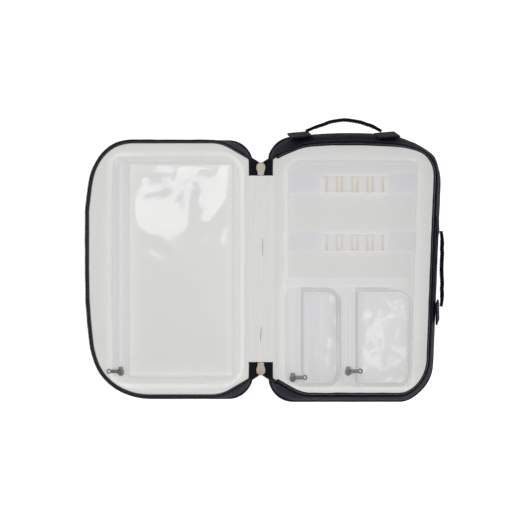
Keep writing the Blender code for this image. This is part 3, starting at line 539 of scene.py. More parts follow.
for half, (place, corners, leans, body, belly) in SHELLS.items():
    for part, low, high, finish, slot in (
        ("board", 1.5, 3.5, board_finish, "stiffener"),
        ("foam", 3.8, 6.8, foam_finish, "foam"),
    ):
        rows = []
        for inset, height in ((2.6, low), (2.0, low + 0.5), (2.0, high - 0.5), (2.6, high)):
            line = wall_outline(corners, leans, down_the_wall(high), inset)
            rows.append(level(line, height))
        sheet = skin(f"{half}_{part}_sheet", place(np.array(rows)), finish, around=True, capped=True)
        settle(sheet, body, slot, f"{half}_{part}")

# %% [markdown]
# ## Piping
# A cord wrapped in cloth runs round the bottom edge of each half, and another round the rim
# outside the zip. Its small round section catches a thin line of light that draws the case's
# outline. A circle swept along the outline gives that, with a slight waver so that it looks sewn.

# %% Cords along an outline
ZIP_FROM = 3.0  # from the fold to where the standing zip starts
RIM_PIPING_Z = 23.5


def zip_line(corners, inset):
    """The rim from one spine-side corner round the free side to the other, where the zip runs."""
    points = rim_outline(corners, inset, ZIP_FROM)
    return points[4 : len(points) - ALONG_STEPS + 1 - 4]


def make_cord(name, place, line, height, radius, finish, closed):
    away = outwards(line, closed)
    waver = 0.18 * ripple(level(line, height), 13, 3)
    rows = []
    for turn in np.arange(10) * 2 * math.pi / 10:
        out = radius * math.cos(turn) + waver
        rows.append(level(line + away * out[:, None], height + radius * math.sin(turn)))
    rows = np.swapaxes(np.array(rows), 0, 1)
    return skin(name, place(rows), finish, around=True, ring=closed, capped=not closed)


for half, (place, corners, leans, body, belly) in SHELLS.items():
    cover_line = wall_outline(corners, leans, 1.0)
    cord = make_cord(f"{half}_bottom_piping", place, cover_line, COVER_Z, 1.6, piping_cloth, True)
    settle(cord, body, "navy_piping", f"{half}_cover_piping")
    rim_line = zip_line(corners, 0.0)
    cord = make_cord(f"{half}_edge_piping", place, rim_line, RIM_PIPING_Z, 1.4, piping_cloth, False)
    settle(cord, body, "navy_piping", f"{half}_rim_piping")

# %% [markdown]
# ## The main zip
# Each half carries one side of the zip, standing up from the rim as a band of ribbed tape. On the
# back half the tape leans inwards, and on the lid it leans out, which makes the lid's dark
# outline. The nylon coil sewn to its edge is one small loop, repeated along the tape.

# %% Zip tapes
TAPE_LOW, TAPE_EDGE = 22.1, 37.0
TAPE_OUT, TAPE_THICK = 1.7, 0.7
TAPE_LEANS = {"back": 3.0, "lid": -1.5}


def tape_face(half, corners, share, depth):
    """The zip tape at a share of its height, depth in from its outer face."""
    line = zip_line(corners, TAPE_OUT)
    height = TAPE_LOW + (TAPE_EDGE - TAPE_LOW) * share
    standing = eased(max(height - RIM_HEIGHT, 0) / (TAPE_EDGE - RIM_HEIGHT))
    wave = 0.45 * standing * ripple(level(line, 0), 16, 5 if half == "back" else 6)
    out = -TAPE_LEANS[half] * max(height - RIM_HEIGHT, 0) / (TAPE_EDGE - RIM_HEIGHT) - depth
    return level(line + outwards(line, False) * (out + wave)[:, None], height)


for half, (place, corners, leans, body, belly) in SHELLS.items():
    outer = [tape_face(half, corners, share, 0.0) for share in (0, 0.12, 0.3, 0.5, 0.7, 0.86, 0.98)]
    inner = [tape_face(half, corners, share, TAPE_THICK) for share in (0.98, 0.7, 0.3, 0)]
    edge = [tape_face(half, corners, 1.0, TAPE_THICK / 2)]
    rows = np.swapaxes(np.array(outer + edge + inner), 0, 1)
    tape = skin(f"{half}_zip_band", place(rows), zip_cloth, around=True, capped=True)
    settle(tape, body, "navy_webbing", f"{half}_zip_tape")


# %% One loop of the coil
def moulded(name, colour, roughness, speckle=0.15, scale=600.0, depth=0.02, **sockets):
    """A plain hard finish with a fine grain in its tone and surface."""
    made, tree, shader = start_finish(name, roughness, **sockets)
    place = add(tree, "ShaderNodeTexCoord").outputs["Object"]
    grain = add(tree, "ShaderNodeTexNoise", {"Vector": place, "Scale": scale, "Detail": 3.0})
    low = tuple(part * (1 - speckle) for part in colour)
    inputs = {0: grain.outputs["Fac"], 6: (*low, 1), 7: (*colour, 1)}
    mixed = add(tree, "ShaderNodeMix", inputs, data_type="RGBA")
    tree.links.new(mixed.outputs[2], shader.inputs["Base Color"])
    inputs = {"Height": grain.outputs["Fac"], "Distance": depth * MM, "Strength": 0.5}
    bump = add(tree, "ShaderNodeBump", inputs)
    tree.links.new(bump.outputs["Normal"], shader.inputs["Normal"])
    return made


navy_nylon = moulded("navy_nylon", (0.014, 0.016, 0.026), 0.35)
white_nylon = moulded("white_nylon", (0.88, 0.88, 0.885), 0.35, **PAINTED_GLOW)


def one_loop(length, thick):
    """A rounded bar lying on X, as the part of a coil's loop that shows."""
    deselect()
    bpy.ops.mesh.primitive_cylinder_add(
        vertices=6, radius=thick * MM / 2, depth=length * MM, rotation=(0, math.pi / 2, 0)
    )
    loop = bpy.context.object
    bpy.ops.object.transform_apply(rotation=True)
    bpy.ops.object.mode_set(mode="EDIT")
    bpy.ops.mesh.select_all(action="SELECT")
    bpy.ops.mesh.bevel(offset=thick * MM * 0.22, segments=1, affect="EDGES")
    bpy.ops.object.mode_set(mode="OBJECT")
    return loop


def repeat(name, pattern, spots, finish):
    """Copies of a small piece, one at each matrix in spots, as one piece. The first one goes."""
    shape = np.array([corner.co for corner in pattern.data.vertices])
    faces = [tuple(face.vertices) for face in pattern.data.polygons]
    points, polygons = [], []
    for number, spot in enumerate(spots):
        spot = np.array(spot)
        points.append(shape @ spot[:3, :3].T + spot[:3, 3])
        polygons += [tuple(at + number * len(shape) for at in face) for face in faces]
    mesh = bpy.data.meshes.new(name)
    mesh.from_pydata(np.concatenate(points).tolist(), [], polygons)
    mesh.materials.append(finish)
    piece = bpy.data.objects.new(name, mesh)
    bpy.context.scene.collection.objects.link(piece)
    bpy.data.objects.remove(pattern)
    face_out(piece)
    bpy.ops.object.shade_smooth_by_angle(angle=math.radians(50))
    return piece


def evenly(line, step):
    """Spots at equal steps along a line of points, with the line's direction at each."""
    lengths = np.concatenate([[0], np.cumsum(np.linalg.norm(np.diff(line, axis=0), axis=1))])
    at = np.arange(step / 2, lengths[-1], step)
    spots = np.stack([np.interp(at, lengths, line[:, axis]) for axis in range(3)], 1)
    ahead = np.stack([np.interp(at + step / 2, lengths, line[:, axis]) for axis in range(3)], 1)
    behind = np.stack([np.interp(at - step / 2, lengths, line[:, axis]) for axis in range(3)], 1)
    along = ahead - behind
    return spots, along / np.linalg.norm(along, axis=1, keepdims=True)


def turned(spot, across, along):
    """A matrix that lays a pattern's X on across and its Y on along, at a spot in mm."""
    across = Vector(across).normalized()
    along = Vector(along).normalized()
    up = across.cross(along).normalized()
    along = up.cross(across)
    made = Matrix((across, along, up)).transposed().to_4x4()
    made.translation = Vector(spot) * MM
    return made


# %% Coils along the main zip
COIL_STEP = 1.45
for half, (place, corners, leans, body, belly) in SHELLS.items():
    low = place(tape_face(half, corners, 0.82, -0.55))
    high = place(tape_face(half, corners, 0.985, -0.55))
    spots, along = evenly((low + high) / 2, COIL_STEP)
    lows, _ = evenly(low, COIL_STEP)
    highs, _ = evenly(high, COIL_STEP)
    count = min(len(spots), len(lows), len(highs))
    matrices = [turned(spots[i], highs[i] - lows[i], along[i]) for i in range(count)]
    coil = repeat(f"{half}_zip_coil", one_loop(2.7, 1.05), matrices, navy_nylon)
    settle(coil, body, "navy_coil", f"{half}_zip_chain")

# %% [markdown]
# ## The linings
# A soft white tray lines each half, from the zip down the wall and over the floor. Real lining is
# cut a little too large, so it falls in long soft folds that run beside the wall. It is one sheet
# drawn from the rim outline to the floor outline, and the folds are a slow ripple that fades to
# nothing at the rim, where it is sewn, and on the floor, where it lies flat.

# %% Lining trays
FLOOR_TOP = 7.9
FLOORS = {
    "back": ((12.5, 151.5, -125.5, 115.5), (19, 11, 11, 19)),
    "lid": ((5.5, 144.5, -122.0, 119.5), (24, 14, 14, 24)),
}
FOLD_DEPTH = {"back": 0.35, "lid": 0.9}


def make_lining(half, place, corners):
    rim = rim_outline(corners, 2.75, 0.4)
    floor_box, floor_corners = FLOORS[half]
    floor_line = rounded(floor_box, floor_corners)
    rows = []
    for share in np.linspace(0, 1, 15):
        inwards = share**1.25
        line = rim + (floor_line - rim) * inwards
        height = RIM_HEIGHT + 0.1 + (FLOOR_TOP - RIM_HEIGHT - 0.1) * share
        spots = np.column_stack([line[:, 0] / 5, line[:, 1] / 5, np.full(len(line), share * 34)])
        free = math.sin(math.pi * share) ** 0.7
        fold = FOLD_DEPTH[half] * free * ripple(spots, 9, 11)
        gather = 0.35 * free * ripple(level(line, 0), 5.5, 12)
        shifted = line - outwards(line) * np.maximum(fold + gather + 0.2, 0)[:, None]
        rows.append(level(shifted, height + 0.3 * fold))
    middle = floor_line.mean(0)
    for share in (0.9, 0.6, 0.3, 0.04):
        rows.append(level(middle + (floor_line - middle) * share, FLOOR_TOP))
    name = f"{half}_lining_tray"
    return skin(name, place(np.array(rows)), lining_cloth, True, capped="last", thick=0.7, facing="up")


for half, (place, corners, leans, body, belly) in SHELLS.items():
    tray = settle(make_lining(half, place, corners), body, "white_lining", f"{half}_lining")

# %% [markdown]
# ## The spine
# Between the halves lies a strip of navy cloth with white lining over it, and it has to fold twice
# as the case shuts. The flat middle rides on the spine. A narrow strip lies over each fold line.

# %% Spine cloths
SPINE_X = (FOLD_X + LID_FOLD_X) / 2
SPINE_SIDE, SPINE_END = 11.7, 95.5
# Each crease's place off the spine's middle, how far it slants at its ends, and its height.
CREASES = ((-7.0, -3.0, 0.8), (-2.5, -5.0, 0.7), (2.0, -3.0, -0.6), (6.5, 2.5, 0.8))


def spine_strip(name, low_x, high_x, end, top, thick, finish, swell, seed, steps=12, creases=()):
    """A strip along the spine with soft folds that run its length, and sharper creases that slant
    towards its ends."""
    rows = []
    for along in np.linspace(-end, end, 60):
        across = np.linspace(low_x, high_x, steps)
        spots = np.column_stack([across, np.full(steps, along / 14), np.zeros(steps)])
        edge = np.sin(math.pi * np.linspace(0, 1, steps)) ** 0.5
        height = top + swell * ripple(spots, 4.2, seed) * edge
        slant = eased((abs(along) - 25) / 70)
        for offset, lean, rise in creases:
            beside = (across - SPINE_X - offset - lean * slant) / 0.8
            height = height + rise * np.exp(-(beside**2)) * edge
        rows.append(np.column_stack([across, np.full(steps, along), height]))
    return skin(name, np.array(rows), finish, thick=thick, facing="up")


low_x, high_x = SPINE_X - SPINE_SIDE, SPINE_X + SPINE_SIDE
strip = spine_strip(
    "spine_lining_cloth", low_x, high_x, SPINE_END, RIM_HEIGHT, 0.5, lining_cloth, 0.85, 21, 60, CREASES
)
settle(strip, "spine", "white_lining", "spine_lining")
strip = spine_strip("spine_outer_cloth", low_x, high_x, SPINE_END, 23.1, 1.1, oxford, 0.0, 22)
settle(strip, "spine", "navy_fabric", "spine_cover")

FOLD_END, FOLD_REACH = 95.3, 2.2
FOLDS = (
    ("back", FOLD_X, ("back_half", "spine"), -1),
    ("lid", LID_FOLD_X, ("lid", "spine"), 1),
)
for label, fold, bodies, towards_spine in FOLDS:
    from_x, to_x = fold - towards_spine * FOLD_REACH, fold + towards_spine * FOLD_REACH
    low_x, high_x = min(from_x, to_x), max(from_x, to_x)
    name = f"{label}_fold_lining"
    strip = spine_strip(name, low_x, high_x, FOLD_END, 25.35, 0.5, lining_cloth, 0.3, 23, 9)
    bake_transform(strip)
    outer = spine_strip(f"{label}_fold_cloth", low_x, high_x, FOLD_END, 22.6, 0.8, oxford, 0.0, 24, 9)
    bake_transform(outer)

# %% [markdown]
# ## Where the zip meets the spine
# At each end of the spine the two zip tapes come down from the rims, lie flat side by side and
# run into the slider. Each is one ribbon between two rails: the coil's edge, which starts high on
# the rim and ends beside the slot, and the sewn edge, which stays low. The ribbon crosses a fold
# between its half and the spine.

# %% Zip ribbons at the spine
COIL_RAIL = (
    (4.5, 116.9, 36.9), (1.0, 115.2, 36.4), (-3.0, 113.0, 34.2), (-7.0, 110.7, 30.0),
    (-10.0, 109.0, 26.0), (-11.4, 107.4, 24.3), (-11.8, 104.0, 24.05), (-11.8, 97.0, 24.0),
    (-11.8, 91.6, 24.0),
)
SEWN_RAIL = (
    (4.5, 118.2, 22.2), (1.8, 114.6, 22.3), (0.3, 110.5, 22.8), (-0.6, 106.4, 23.3),
    (-1.0, 103.4, 23.6), (-1.1, 100.6, 23.9), (-1.1, 97.8, 24.0), (-1.1, 94.6, 24.0),
    (-1.1, 91.6, 24.0),
)


def smooth_rail(rail, count):
    """A finer line through a rail's points."""
    rail = np.array(rail, float)
    at = np.arange(len(rail))
    fine = np.linspace(0, len(rail) - 1, count)
    line = np.stack([np.interp(fine, at, rail[:, axis]) for axis in range(3)], 1)
    for _ in range(6):
        line[1:-1] = (line[:-2] + 2 * line[1:-1] + line[2:]) / 4
    return line


def ribbon_rows(side, count=40, across=9):
    """Rows across a ribbon, at the high end of the spine for side 1 and the low for -1."""
    coil, sewn = smooth_rail(COIL_RAIL, count), smooth_rail(SEWN_RAIL, count)
    shares = np.linspace(0, 1, across)[None, :, None]
    rows = coil[:, None] + (sewn - coil)[:, None] * shares
    rows[..., 1] *= side
    return rows


RIBBON_FROM, RIBBON_TO = 3.0, -6.0
for half, (place, corners, leans, body, belly) in SHELLS.items():
    start, end = (place(np.array((u, 0.0, 25.0))) * MM for u in (RIBBON_FROM, RIBBON_TO))
    first = 7 if half == "back" else 0  # the lid's band passes over this end when the case shuts
    for label, side, node in (("top", 1, "top_zip_end"), ("bottom", -1, "bottom_zip_end")):
        rows = place(ribbon_rows(side))
        ribbon = skin(f"{half}_{label}_zip_ribbon", rows, zip_cloth, thick=0.65, facing="up")
        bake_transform(ribbon)
        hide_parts(node)
        edge = rows[first:30, 0] + np.array((0, 0, 0.25))
        inner = rows[first:30, 1]
        spots, along = evenly(edge, COIL_STEP)
        inners, _ = evenly(inner, COIL_STEP)
        count = min(len(spots), len(inners))
        matrices = [turned(spots[i], inners[i] - spots[i], along[i]) for i in range(count)]
        teeth = repeat(f"{half}_{label}_ribbon_coil", one_loop(2.2, 1.0), matrices, navy_nylon)
        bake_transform(teeth)
print("four zip ribbons")

# %% [markdown]
# ## Stitches
# Thread is what tells sewn cloth from moulded plastic. One stitch is a short rounded bar that
# lies on the cloth, and a seam is that bar repeated at the machine's pitch. Each seam is one piece.

# %% A seam
white_thread = moulded("white_thread", (0.88, 0.88, 0.87), 0.6, **PAINTED_GLOW)
navy_thread = moulded("navy_thread", (0.040, 0.045, 0.070), 0.55)


def seam(name, line, finish, pitch=3.0, thick=0.42, share=0.78):
    """A row of stitches along a line of points in mm."""
    spots, along = evenly(np.asarray(line, float), pitch)
    aside = np.cross((0, 0, 1.0), along)
    matrices = [turned(spot, way, side) for spot, way, side in zip(spots, along, aside, strict=True)]
    return repeat(name, one_loop(pitch * share, thick), matrices, finish)


def closed_line(points, height):
    """A closed outline at a height, with its first point again at the end."""
    return np.concatenate([level(points, height), level(points[:1], height)])


# %% [markdown]
# ## The organiser panel
# The back half's floor is covered by a padded board in white cloth. Its foam is held down by a
# seam just inside the edge, so the edge is soft and round and the middle is nearly flat. The
# profile below is walked inwards from the edge: up, over, down into the seam, and up again.

# %% Panel
PANEL = (15.0, 149.0, -123.0, 113.0)
PANEL_CORNERS = (15.0, 8.0, 8.0, 15.0)
PANEL_SEAM_IN, PANEL_SEAM_Z = 4.2, 10.62
PANEL_PROFILE = (
    (1.2, 8.2), (0.2, 8.6), (0.0, 9.3), (0.3, 10.1), (1.2, 10.7), (2.6, 10.9), (3.8, 10.55),
    (4.2, 10.45), (4.6, 10.55), (6.5, 10.9), (11.0, 11.1), (24.0, 11.15), (45.0, 11.15), (62.0, 11.15),
)
rows = []
for inset, height in PANEL_PROFILE:
    line = rounded(*drawn_in(PANEL, PANEL_CORNERS, inset))
    soft = 0.10 * ripple(level(line, 0), 24, 31) * eased((height - 9) / 2)
    rows.append(level(line, height + np.minimum(soft, 0.12)))
panel = skin("organiser_pad", in_back(np.array(rows)), panel_cloth, around=True, capped=True)
settle(panel, "back_half", "white_lining", "organiser_panel")
seam_line = closed_line(rounded(*drawn_in(PANEL, PANEL_CORNERS, PANEL_SEAM_IN)), PANEL_SEAM_Z)
edge_seam = seam("organiser_pad_seam", in_back(seam_line), white_thread)
settle(edge_seam, "back_half", "white_lining")

# %% [markdown]
# ## Bands, holders and header
# Two soft loop-faced tapes cross the panel, and each has a short elastic holder that is stitched
# down in five places, so that it stands up in four loops between them. Pens, brushes or chains
# slide under the loops. A flat band lies across the top of the pouches.

# %% Flat tapes
BAND_LOW, BAND_SEAM_Z = 11.5, 12.38


def flat_tape(name, box, low, thick, finish, seed, sway=0.15, wave=0.12):
    """A tape lying on the panel, whose edges waver a little."""
    low_u, high_u, low_v, high_v = box
    across = np.linspace(0, 1, 40 if high_u - low_u > high_v - low_v else 8)
    along = np.linspace(0, 1, 8 if high_u - low_u > high_v - low_v else 40)
    rows = []
    for share_v in along:
        u = low_u + (high_u - low_u) * across
        v = np.full(len(across), low_v + (high_v - low_v) * share_v)
        spots = np.stack([u, v, np.zeros(len(u))], 1)
        v = v + sway * ripple(spots, 30, seed)
        height = low + thick + wave * (0.5 + 0.5 * ripple(spots, 17, seed + 1))
        rows.append(np.stack([u, v, height], 1))
    return skin(name, in_back(np.array(rows)), finish, thick=thick, facing="up")


def plan_of(node):
    """A back-half node's box as (low u, high u, low v, high v), and its heights."""
    low, high = box_of(node)
    return (low[0] - FOLD_X, high[0] - FOLD_X, low[1], high[1]), (low[2], high[2])


def edge_seams(name, box, inset):
    """A seam along each long edge of a flat tape."""
    low_u, high_u, low_v, high_v = box
    u = np.linspace(low_u + 1.5, high_u - 1.5, 60)
    for number, v in enumerate((low_v + inset, high_v - inset)):
        line = in_back(np.stack([u, np.full(60, v), np.full(60, BAND_SEAM_Z)], 1))
        piece = seam(f"{name}_seam_{number + 1}", line, white_thread, 2.6, 0.34)
        settle(piece, "back_half", "white_tape")


for number, name in enumerate(("upper_loop_tape", "lower_loop_tape")):
    box, _ = plan_of(name)
    tape = flat_tape(f"{name}_cloth", box, BAND_LOW, 0.7, loop_cloth, 40 + number)
    settle(tape, "back_half", "lavender_tape", name)
    edge_seams(name, box, 1.3)
box, _ = plan_of("pouch_header")
tape = flat_tape("pouch_header_cloth", box, BAND_LOW, 0.7, band_cloth, 44)
settle(tape, "back_half", "white_tape", "pouch_header")
edge_seams("pouch_header", box, 1.0)
for number, name in enumerate(("left_pouch_strap", "right_pouch_strap")):
    box, _ = plan_of(name)
    tape = flat_tape(f"{name}_cloth", box, BAND_LOW, 0.7, loop_cloth, 46 + number)
    settle(tape, "back_half", "lavender_tape", name)

# %% Elastic finish
elastic, tree, shader = start_finish("cream_elastic_cloth", 0.85, **PAINTED_GLOW)
uv = add(tree, "ShaderNodeTexCoord").outputs["UV"]
split = add(tree, "ShaderNodeSeparateXYZ", {"Vector": uv})
rib = maths(tree, "SINE", maths(tree, "MULTIPLY", split.outputs["Y"], 2 * math.pi / (1.1 * MM)))
knit = maths(tree, "SINE", maths(tree, "MULTIPLY", split.outputs["X"], 2 * math.pi / (0.6 * MM)))
height = maths(tree, "ADD", maths(tree, "MULTIPLY", rib, 0.35), maths(tree, "MULTIPLY", knit, 0.15))
height = maths(tree, "ADD", height, 0.5)
flank_shade_tint = add(tree, "ShaderNodeAttribute", attribute_name="flank_shade_tint").outputs["Fac"]
# Painted shade: the loops' flanks, where they dip to their tacks, are tinted a darker beige.
inputs = {0: flank_shade_tint, 6: (0.86, 0.855, 0.84, 1), 7: (0.70, 0.63, 0.53, 1)}
tint = add(tree, "ShaderNodeMix", inputs, data_type="RGBA")
tree.links.new(tint.outputs[2], shader.inputs["Base Color"])
bump = add(tree, "ShaderNodeBump", {"Height": height, "Distance": 0.25 * MM, "Strength": 0.7})
tree.links.new(bump.outputs["Normal"], shader.inputs["Normal"])

# %% Elastic holders
LOOPS, LOOP_PITCH, LOOP_WIDTH, LOOP_RISE = 4, 15.8, 11.6, 4.0
BACKING_LOW, ELASTIC_THICK, TACK_Z = 12.6, 0.75, 14.62


def elastic_rows(box, low, seed):
    """The band's surface: flat where it is stitched, and arched in between."""
    low_u, high_u, low_v, high_v = box
    middle = (low_u + high_u) / 2
    u = np.linspace(low_u, high_u, 150)
    beside = np.abs((u - middle) / LOOP_PITCH - np.round((u - middle) / LOOP_PITCH - 0.5) - 0.5)
    beside = beside * LOOP_PITCH / (LOOP_WIDTH / 2)
    arch = np.sqrt(np.clip(1 - np.clip(beside, 0, 1) ** 2.6, 0, 1))
    inside = np.abs(u - middle) < LOOPS * LOOP_PITCH / 2
    arch = np.where(inside, arch, 0)
    rows, flank_shade = [], []
    for share in np.linspace(0, 1, 15):
        v = low_v + (high_v - low_v) * share
        pinch = 0.5 * (1 - 2 * share) * arch
        lean = 0.35 * np.sin((u - low_u) / 9.0 + seed) * (share - 0.5) * arch
        top = low + 0.8 + LOOP_RISE * arch * (0.94 + 0.06 * math.sin(math.pi * share))
        rows.append(np.stack([u + lean, np.full(len(u), v) + pinch, top], 1))
        # painted shade along each loop's flank, where it meets its tack
        near = np.exp(-(((beside - 1.0) / 0.30) ** 2)) * inside
        flank_shade.append(np.clip(near * (0.75 + 0.25 * math.sin(seed + share * 3)), 0, 1))
    return np.array(rows), np.array(flank_shade).ravel()


for number, label in enumerate(("upper", "lower")):
    backing, _ = plan_of(f"{label}_holder_backing")
    name = f"{label}_holder_tape"
    tape = flat_tape(name, backing, BACKING_LOW, 0.7, band_cloth, 50 + number, 0.1, 0.05)
    settle(tape, "back_half", "white_tape", f"{label}_holder_backing")
    box, heights = plan_of(f"{label}_holder_elastic")
    rows, flank_shade = elastic_rows(box, heights[0], number + 1.0)
    band = skin(f"{label}_elastic_loops", in_back(rows), elastic)
    mark = band.data.attributes.new("flank_shade_tint", "FLOAT", "POINT")
    mark.data.foreach_set("value", flank_shade.astype(np.float32))
    if band.data.polygons[0].normal.z < 0:
        band.data.flip_normals()
    apply(band, "SOLIDIFY", thickness=ELASTIC_THICK * MM, offset=-1.0)
    settle(band, "back_half", "cream_elastic", f"{label}_holder_elastic")
    middle = (box[0] + box[1]) / 2
    lines = []
    for tack in range(LOOPS + 1):
        u = middle + (tack - LOOPS / 2) * LOOP_PITCH
        u = min(max(u, box[0] + 1.2), box[1] - 1.2)
        for side in (-0.45, 0.45):
            v = np.linspace(box[2] + 0.6, box[3] - 0.6, 20)
            line = in_back(np.stack([np.full(20, u + side), v, np.full(20, TACK_Z)], 1))
            spots, along = evenly(line, 1.5)
            lines += [turned(spot, way, (1, 0, 0)) for spot, way in zip(spots, along, strict=True)]
    tacks = repeat(f"{label}_elastic_tacks", one_loop(1.2, 0.34), lines, white_thread)
    settle(tacks, "back_half", "cream_elastic")

# %% [markdown]
# ## Clear film
# The pouches and the lid's window are soft clear vinyl. Flat, perfect film can't be seen at all,
# so its look is made of three things: a slight veil over what lies behind it, a gloss that mirrors
# the small lights, and gentle dents that break that mirror into odd patches. The veil is the
# shader's own alpha, which stays true in other viewers. The dents are in the mesh.

# %% Film finishes


def film(name, colour, veil, roughness, painted_film_glow):
    """Vinyl that hides a share veil of what is behind it, and glows by painted_film_glow, a painted light
    that brightens it.
    """
    made, _, _ = start_finish(
        name, roughness, Base_Color=(*colour, 1), Alpha=veil, IOR=1.9, Coat_IOR=1.9,
        Specular_IOR_Level=1.0, Coat_Weight=1.0, Coat_Roughness=roughness,
        Emission_Color=(1, 1, 1, 1), Emission_Strength=painted_film_glow,
    )
    return made


# Painted light: every film glows a little, so that its veil does not darken what lies behind it.
clear_film = film("clear_film", (0.97, 0.97, 0.975), 0.05, 0.08, 0.5)
window_film = film("window_film", (0.97, 0.97, 0.975), 0.055, 0.06, 0.1)
weld_film = film("welded_film", (0.93, 0.93, 0.94), 0.07, 0.2, 0.6)
wall_film = film("film_wall", (0.97, 0.97, 0.975), 0.02, 0.12, 0.6)


# %% [markdown]
# ## Zips on the pouches and the pocket
# A small zip is two strips of woven tape with a nylon coil sewn to each facing edge. Between the
# coils is a slot, where the slider's post runs the whole length. The two coils are set half a
# step apart, as they are when they mesh.

# %% A small zip
SMALL_COIL_STEP = 1.1
SLOT_HALF, COIL_OUT = 0.33, 1.25
white_zip_cloth = woven(
    "white_zip_cloth", (0.86, 0.86, 0.868), (0.7, 0.35), 0.10, 0.7, 0.10, 0.01, **PAINTED_GLOW
)


def small_zip(name, place, middle, near, far, low_v, high_v, tape_low, taper, body, node):
    """Two tapes and two coils. near and far are how far the tapes reach from the middle, and taper
    is how much each is cut back at its ends."""
    count = 40
    v = np.linspace(low_v, high_v, count)
    ends = np.minimum(v - low_v, high_v - v)
    for label, side, reach, draw in (("near", -1, near, taper[0]), ("far", 1, far, taper[1])):
        outer = side * (reach - draw * np.clip(1 - ends / (2 * draw + 1e-6), 0, 1))
        rows = []
        for share in np.linspace(0, 1, 7):
            u = middle + side * SLOT_HALF + (outer - side * SLOT_HALF) * share
            wave = 0.10 * ripple(np.stack([u, v, np.zeros(count)], 1), 12, 61)
            rows.append(np.stack([u, v, tape_low + 0.6 + wave * share], 1))
        rows = place(np.array(rows))
        tape = skin(f"{name}_{label}_tape", rows, white_zip_cloth, thick=0.5, facing="up")
        settle(tape, body, "white_tape", *([node] if label == "near" else []))
    loops = []
    for side, start in ((-1, 0.0), (1, 0.5)):
        for at in np.arange(low_v + 1.2 + start * SMALL_COIL_STEP, high_v - 1.2, SMALL_COIL_STEP):
            spot = place(np.array((middle + side * COIL_OUT, at, tape_low + 1.05)))
            loops.append(turned(spot, (1, 0.12 * side, 0), (0, 1, 0)))
    settle(repeat(f"{name}_coil", one_loop(1.7, 0.85), loops, white_nylon), body, "white_tape")
    stops = []
    for end in (low_v + 1.0, high_v - 1.0):
        stops.append(turned(place(np.array((middle, end, tape_low + 1.1))), (1, 0, 0), (0, 1, 0)))
    settle(repeat(f"{name}_stops", one_loop(4.0, 1.5), stops, white_nylon), body, "white_tape")


POUCH_TAPE_LOW = 18.2
POUCHES = {
    "left": ((12.5, 69.5, -121.8, -19.3), 8.0, 7.7),
    "right": ((70.5, 146.0, -121.8, -19.3), 7.0, 6.7),
}
for label, (box, zip_in, far) in POUCHES.items():
    small_zip(
        f"{label}_pouch", in_back, box[0] + zip_in, zip_in, far, box[2] + 3, box[3],
        POUCH_TAPE_LOW, (4.0, 0.0), "back_half", f"{label}_pouch_zip",
    )

# %% [markdown]
# ## Pouch bodies
# Each pouch is a bag of the same film: a floor, a low wall with round corners, and a top film that
# is welded to the wall all round. The weld shows as a cloudy double line, and the film between the
# welds never lies quite flat. On the right pouch the top edge has crept into small waves.

# %% Bags of film
FILM_TOP = 18.7
POUCH_RADIUS = 15.0
BAG_PROFILE = (
    (0.5, 17.9), (0.1, 17.2), (-0.15, 15.6), (0.1, 14.0), (0.8, 13.1), (2.2, 12.9), (9.0, 12.95),
    (20.0, 12.95), (27.0, 12.95),
)  # inset from the edge, and height: down the wall and in over the floor


def make_bag(label, box, seed):
    rows = []
    for inset, height in BAG_PROFILE:
        line = rounded(*drawn_in(box, (POUCH_RADIUS,) * 4, inset))
        dent = 0.25 * ripple(level(line, height), 8, seed) * (inset < 2)
        rows.append(level(line - outwards(line) * np.maximum(dent, 0)[:, None], height))
    rows = in_back(np.array(rows))
    bag = skin(f"{label}_pouch_bag", rows, wall_film, True, capped="last", thick=0.3, facing="up")
    settle(bag, "back_half", "clear_vinyl", f"{label}_pouch_tray")


def film_line(box, inset, wander, seed):
    """The top film's outline: square beside the zip and round on the free side."""
    line = rounded(*drawn_in(box, (1.0, POUCH_RADIUS, POUCH_RADIUS, 1.0), inset))
    return line + outwards(line) * (wander * ripple(level(line, 0), 12, seed))[:, None]


def make_top_film(label, film_box, droop, seed):
    """The top film, row by row. Its free side has round corners, and its far edge may droop."""
    low_u, high_u, low_v, high_v = film_box
    rows = []
    for v in np.linspace(low_v, high_v, 64):
        into = max(low_v + POUCH_RADIUS - v, v - high_v + POUCH_RADIUS, 0)
        side = high_u - POUCH_RADIUS + math.sqrt(max(POUCH_RADIUS**2 - into**2, 0))
        u = np.linspace(low_u, side, 40)
        from_edge = np.minimum(np.minimum(u - low_u, side - u), min(v - low_v, high_v - v))
        slack = eased(from_edge / 8)
        spots = np.stack([u, np.full(40, v), np.zeros(40)], 1)
        far = eased((v - high_v + 40) / 40)
        sag = far * (droop * eased((u - low_u - 25) / 45) + 0.35 * ripple(spots, 9, seed))
        dents = 0.9 * ripple(spots, 24, seed + 1) + 0.35 * ripple(spots, 10, seed + 2)
        height = FILM_TOP - 0.25 + np.maximum(slack * (0.3 + 0.75 * dents), -0.45)
        rows.append(np.stack([u, v - sag, height], 1))
    top = skin(f"{label}_pouch_top", in_back(np.array(rows)), clear_film, thick=0.25, facing="up")
    settle(top, "back_half", "clear_vinyl", f"{label}_pouch_film")


def raised_line(line, wide, high, height, sides, waver=0.0):
    """Rows of a flat oval section swept along a closed outline."""
    away = outwards(line)
    rows = []
    for turn in np.arange(sides) * 2 * math.pi / sides:
        out = wide / 2 * math.cos(turn) + waver
        rows.append(level(line + away * np.reshape(out, (-1, 1)), height + high * math.sin(turn)))
    return np.swapaxes(np.array(rows), 0, 1)


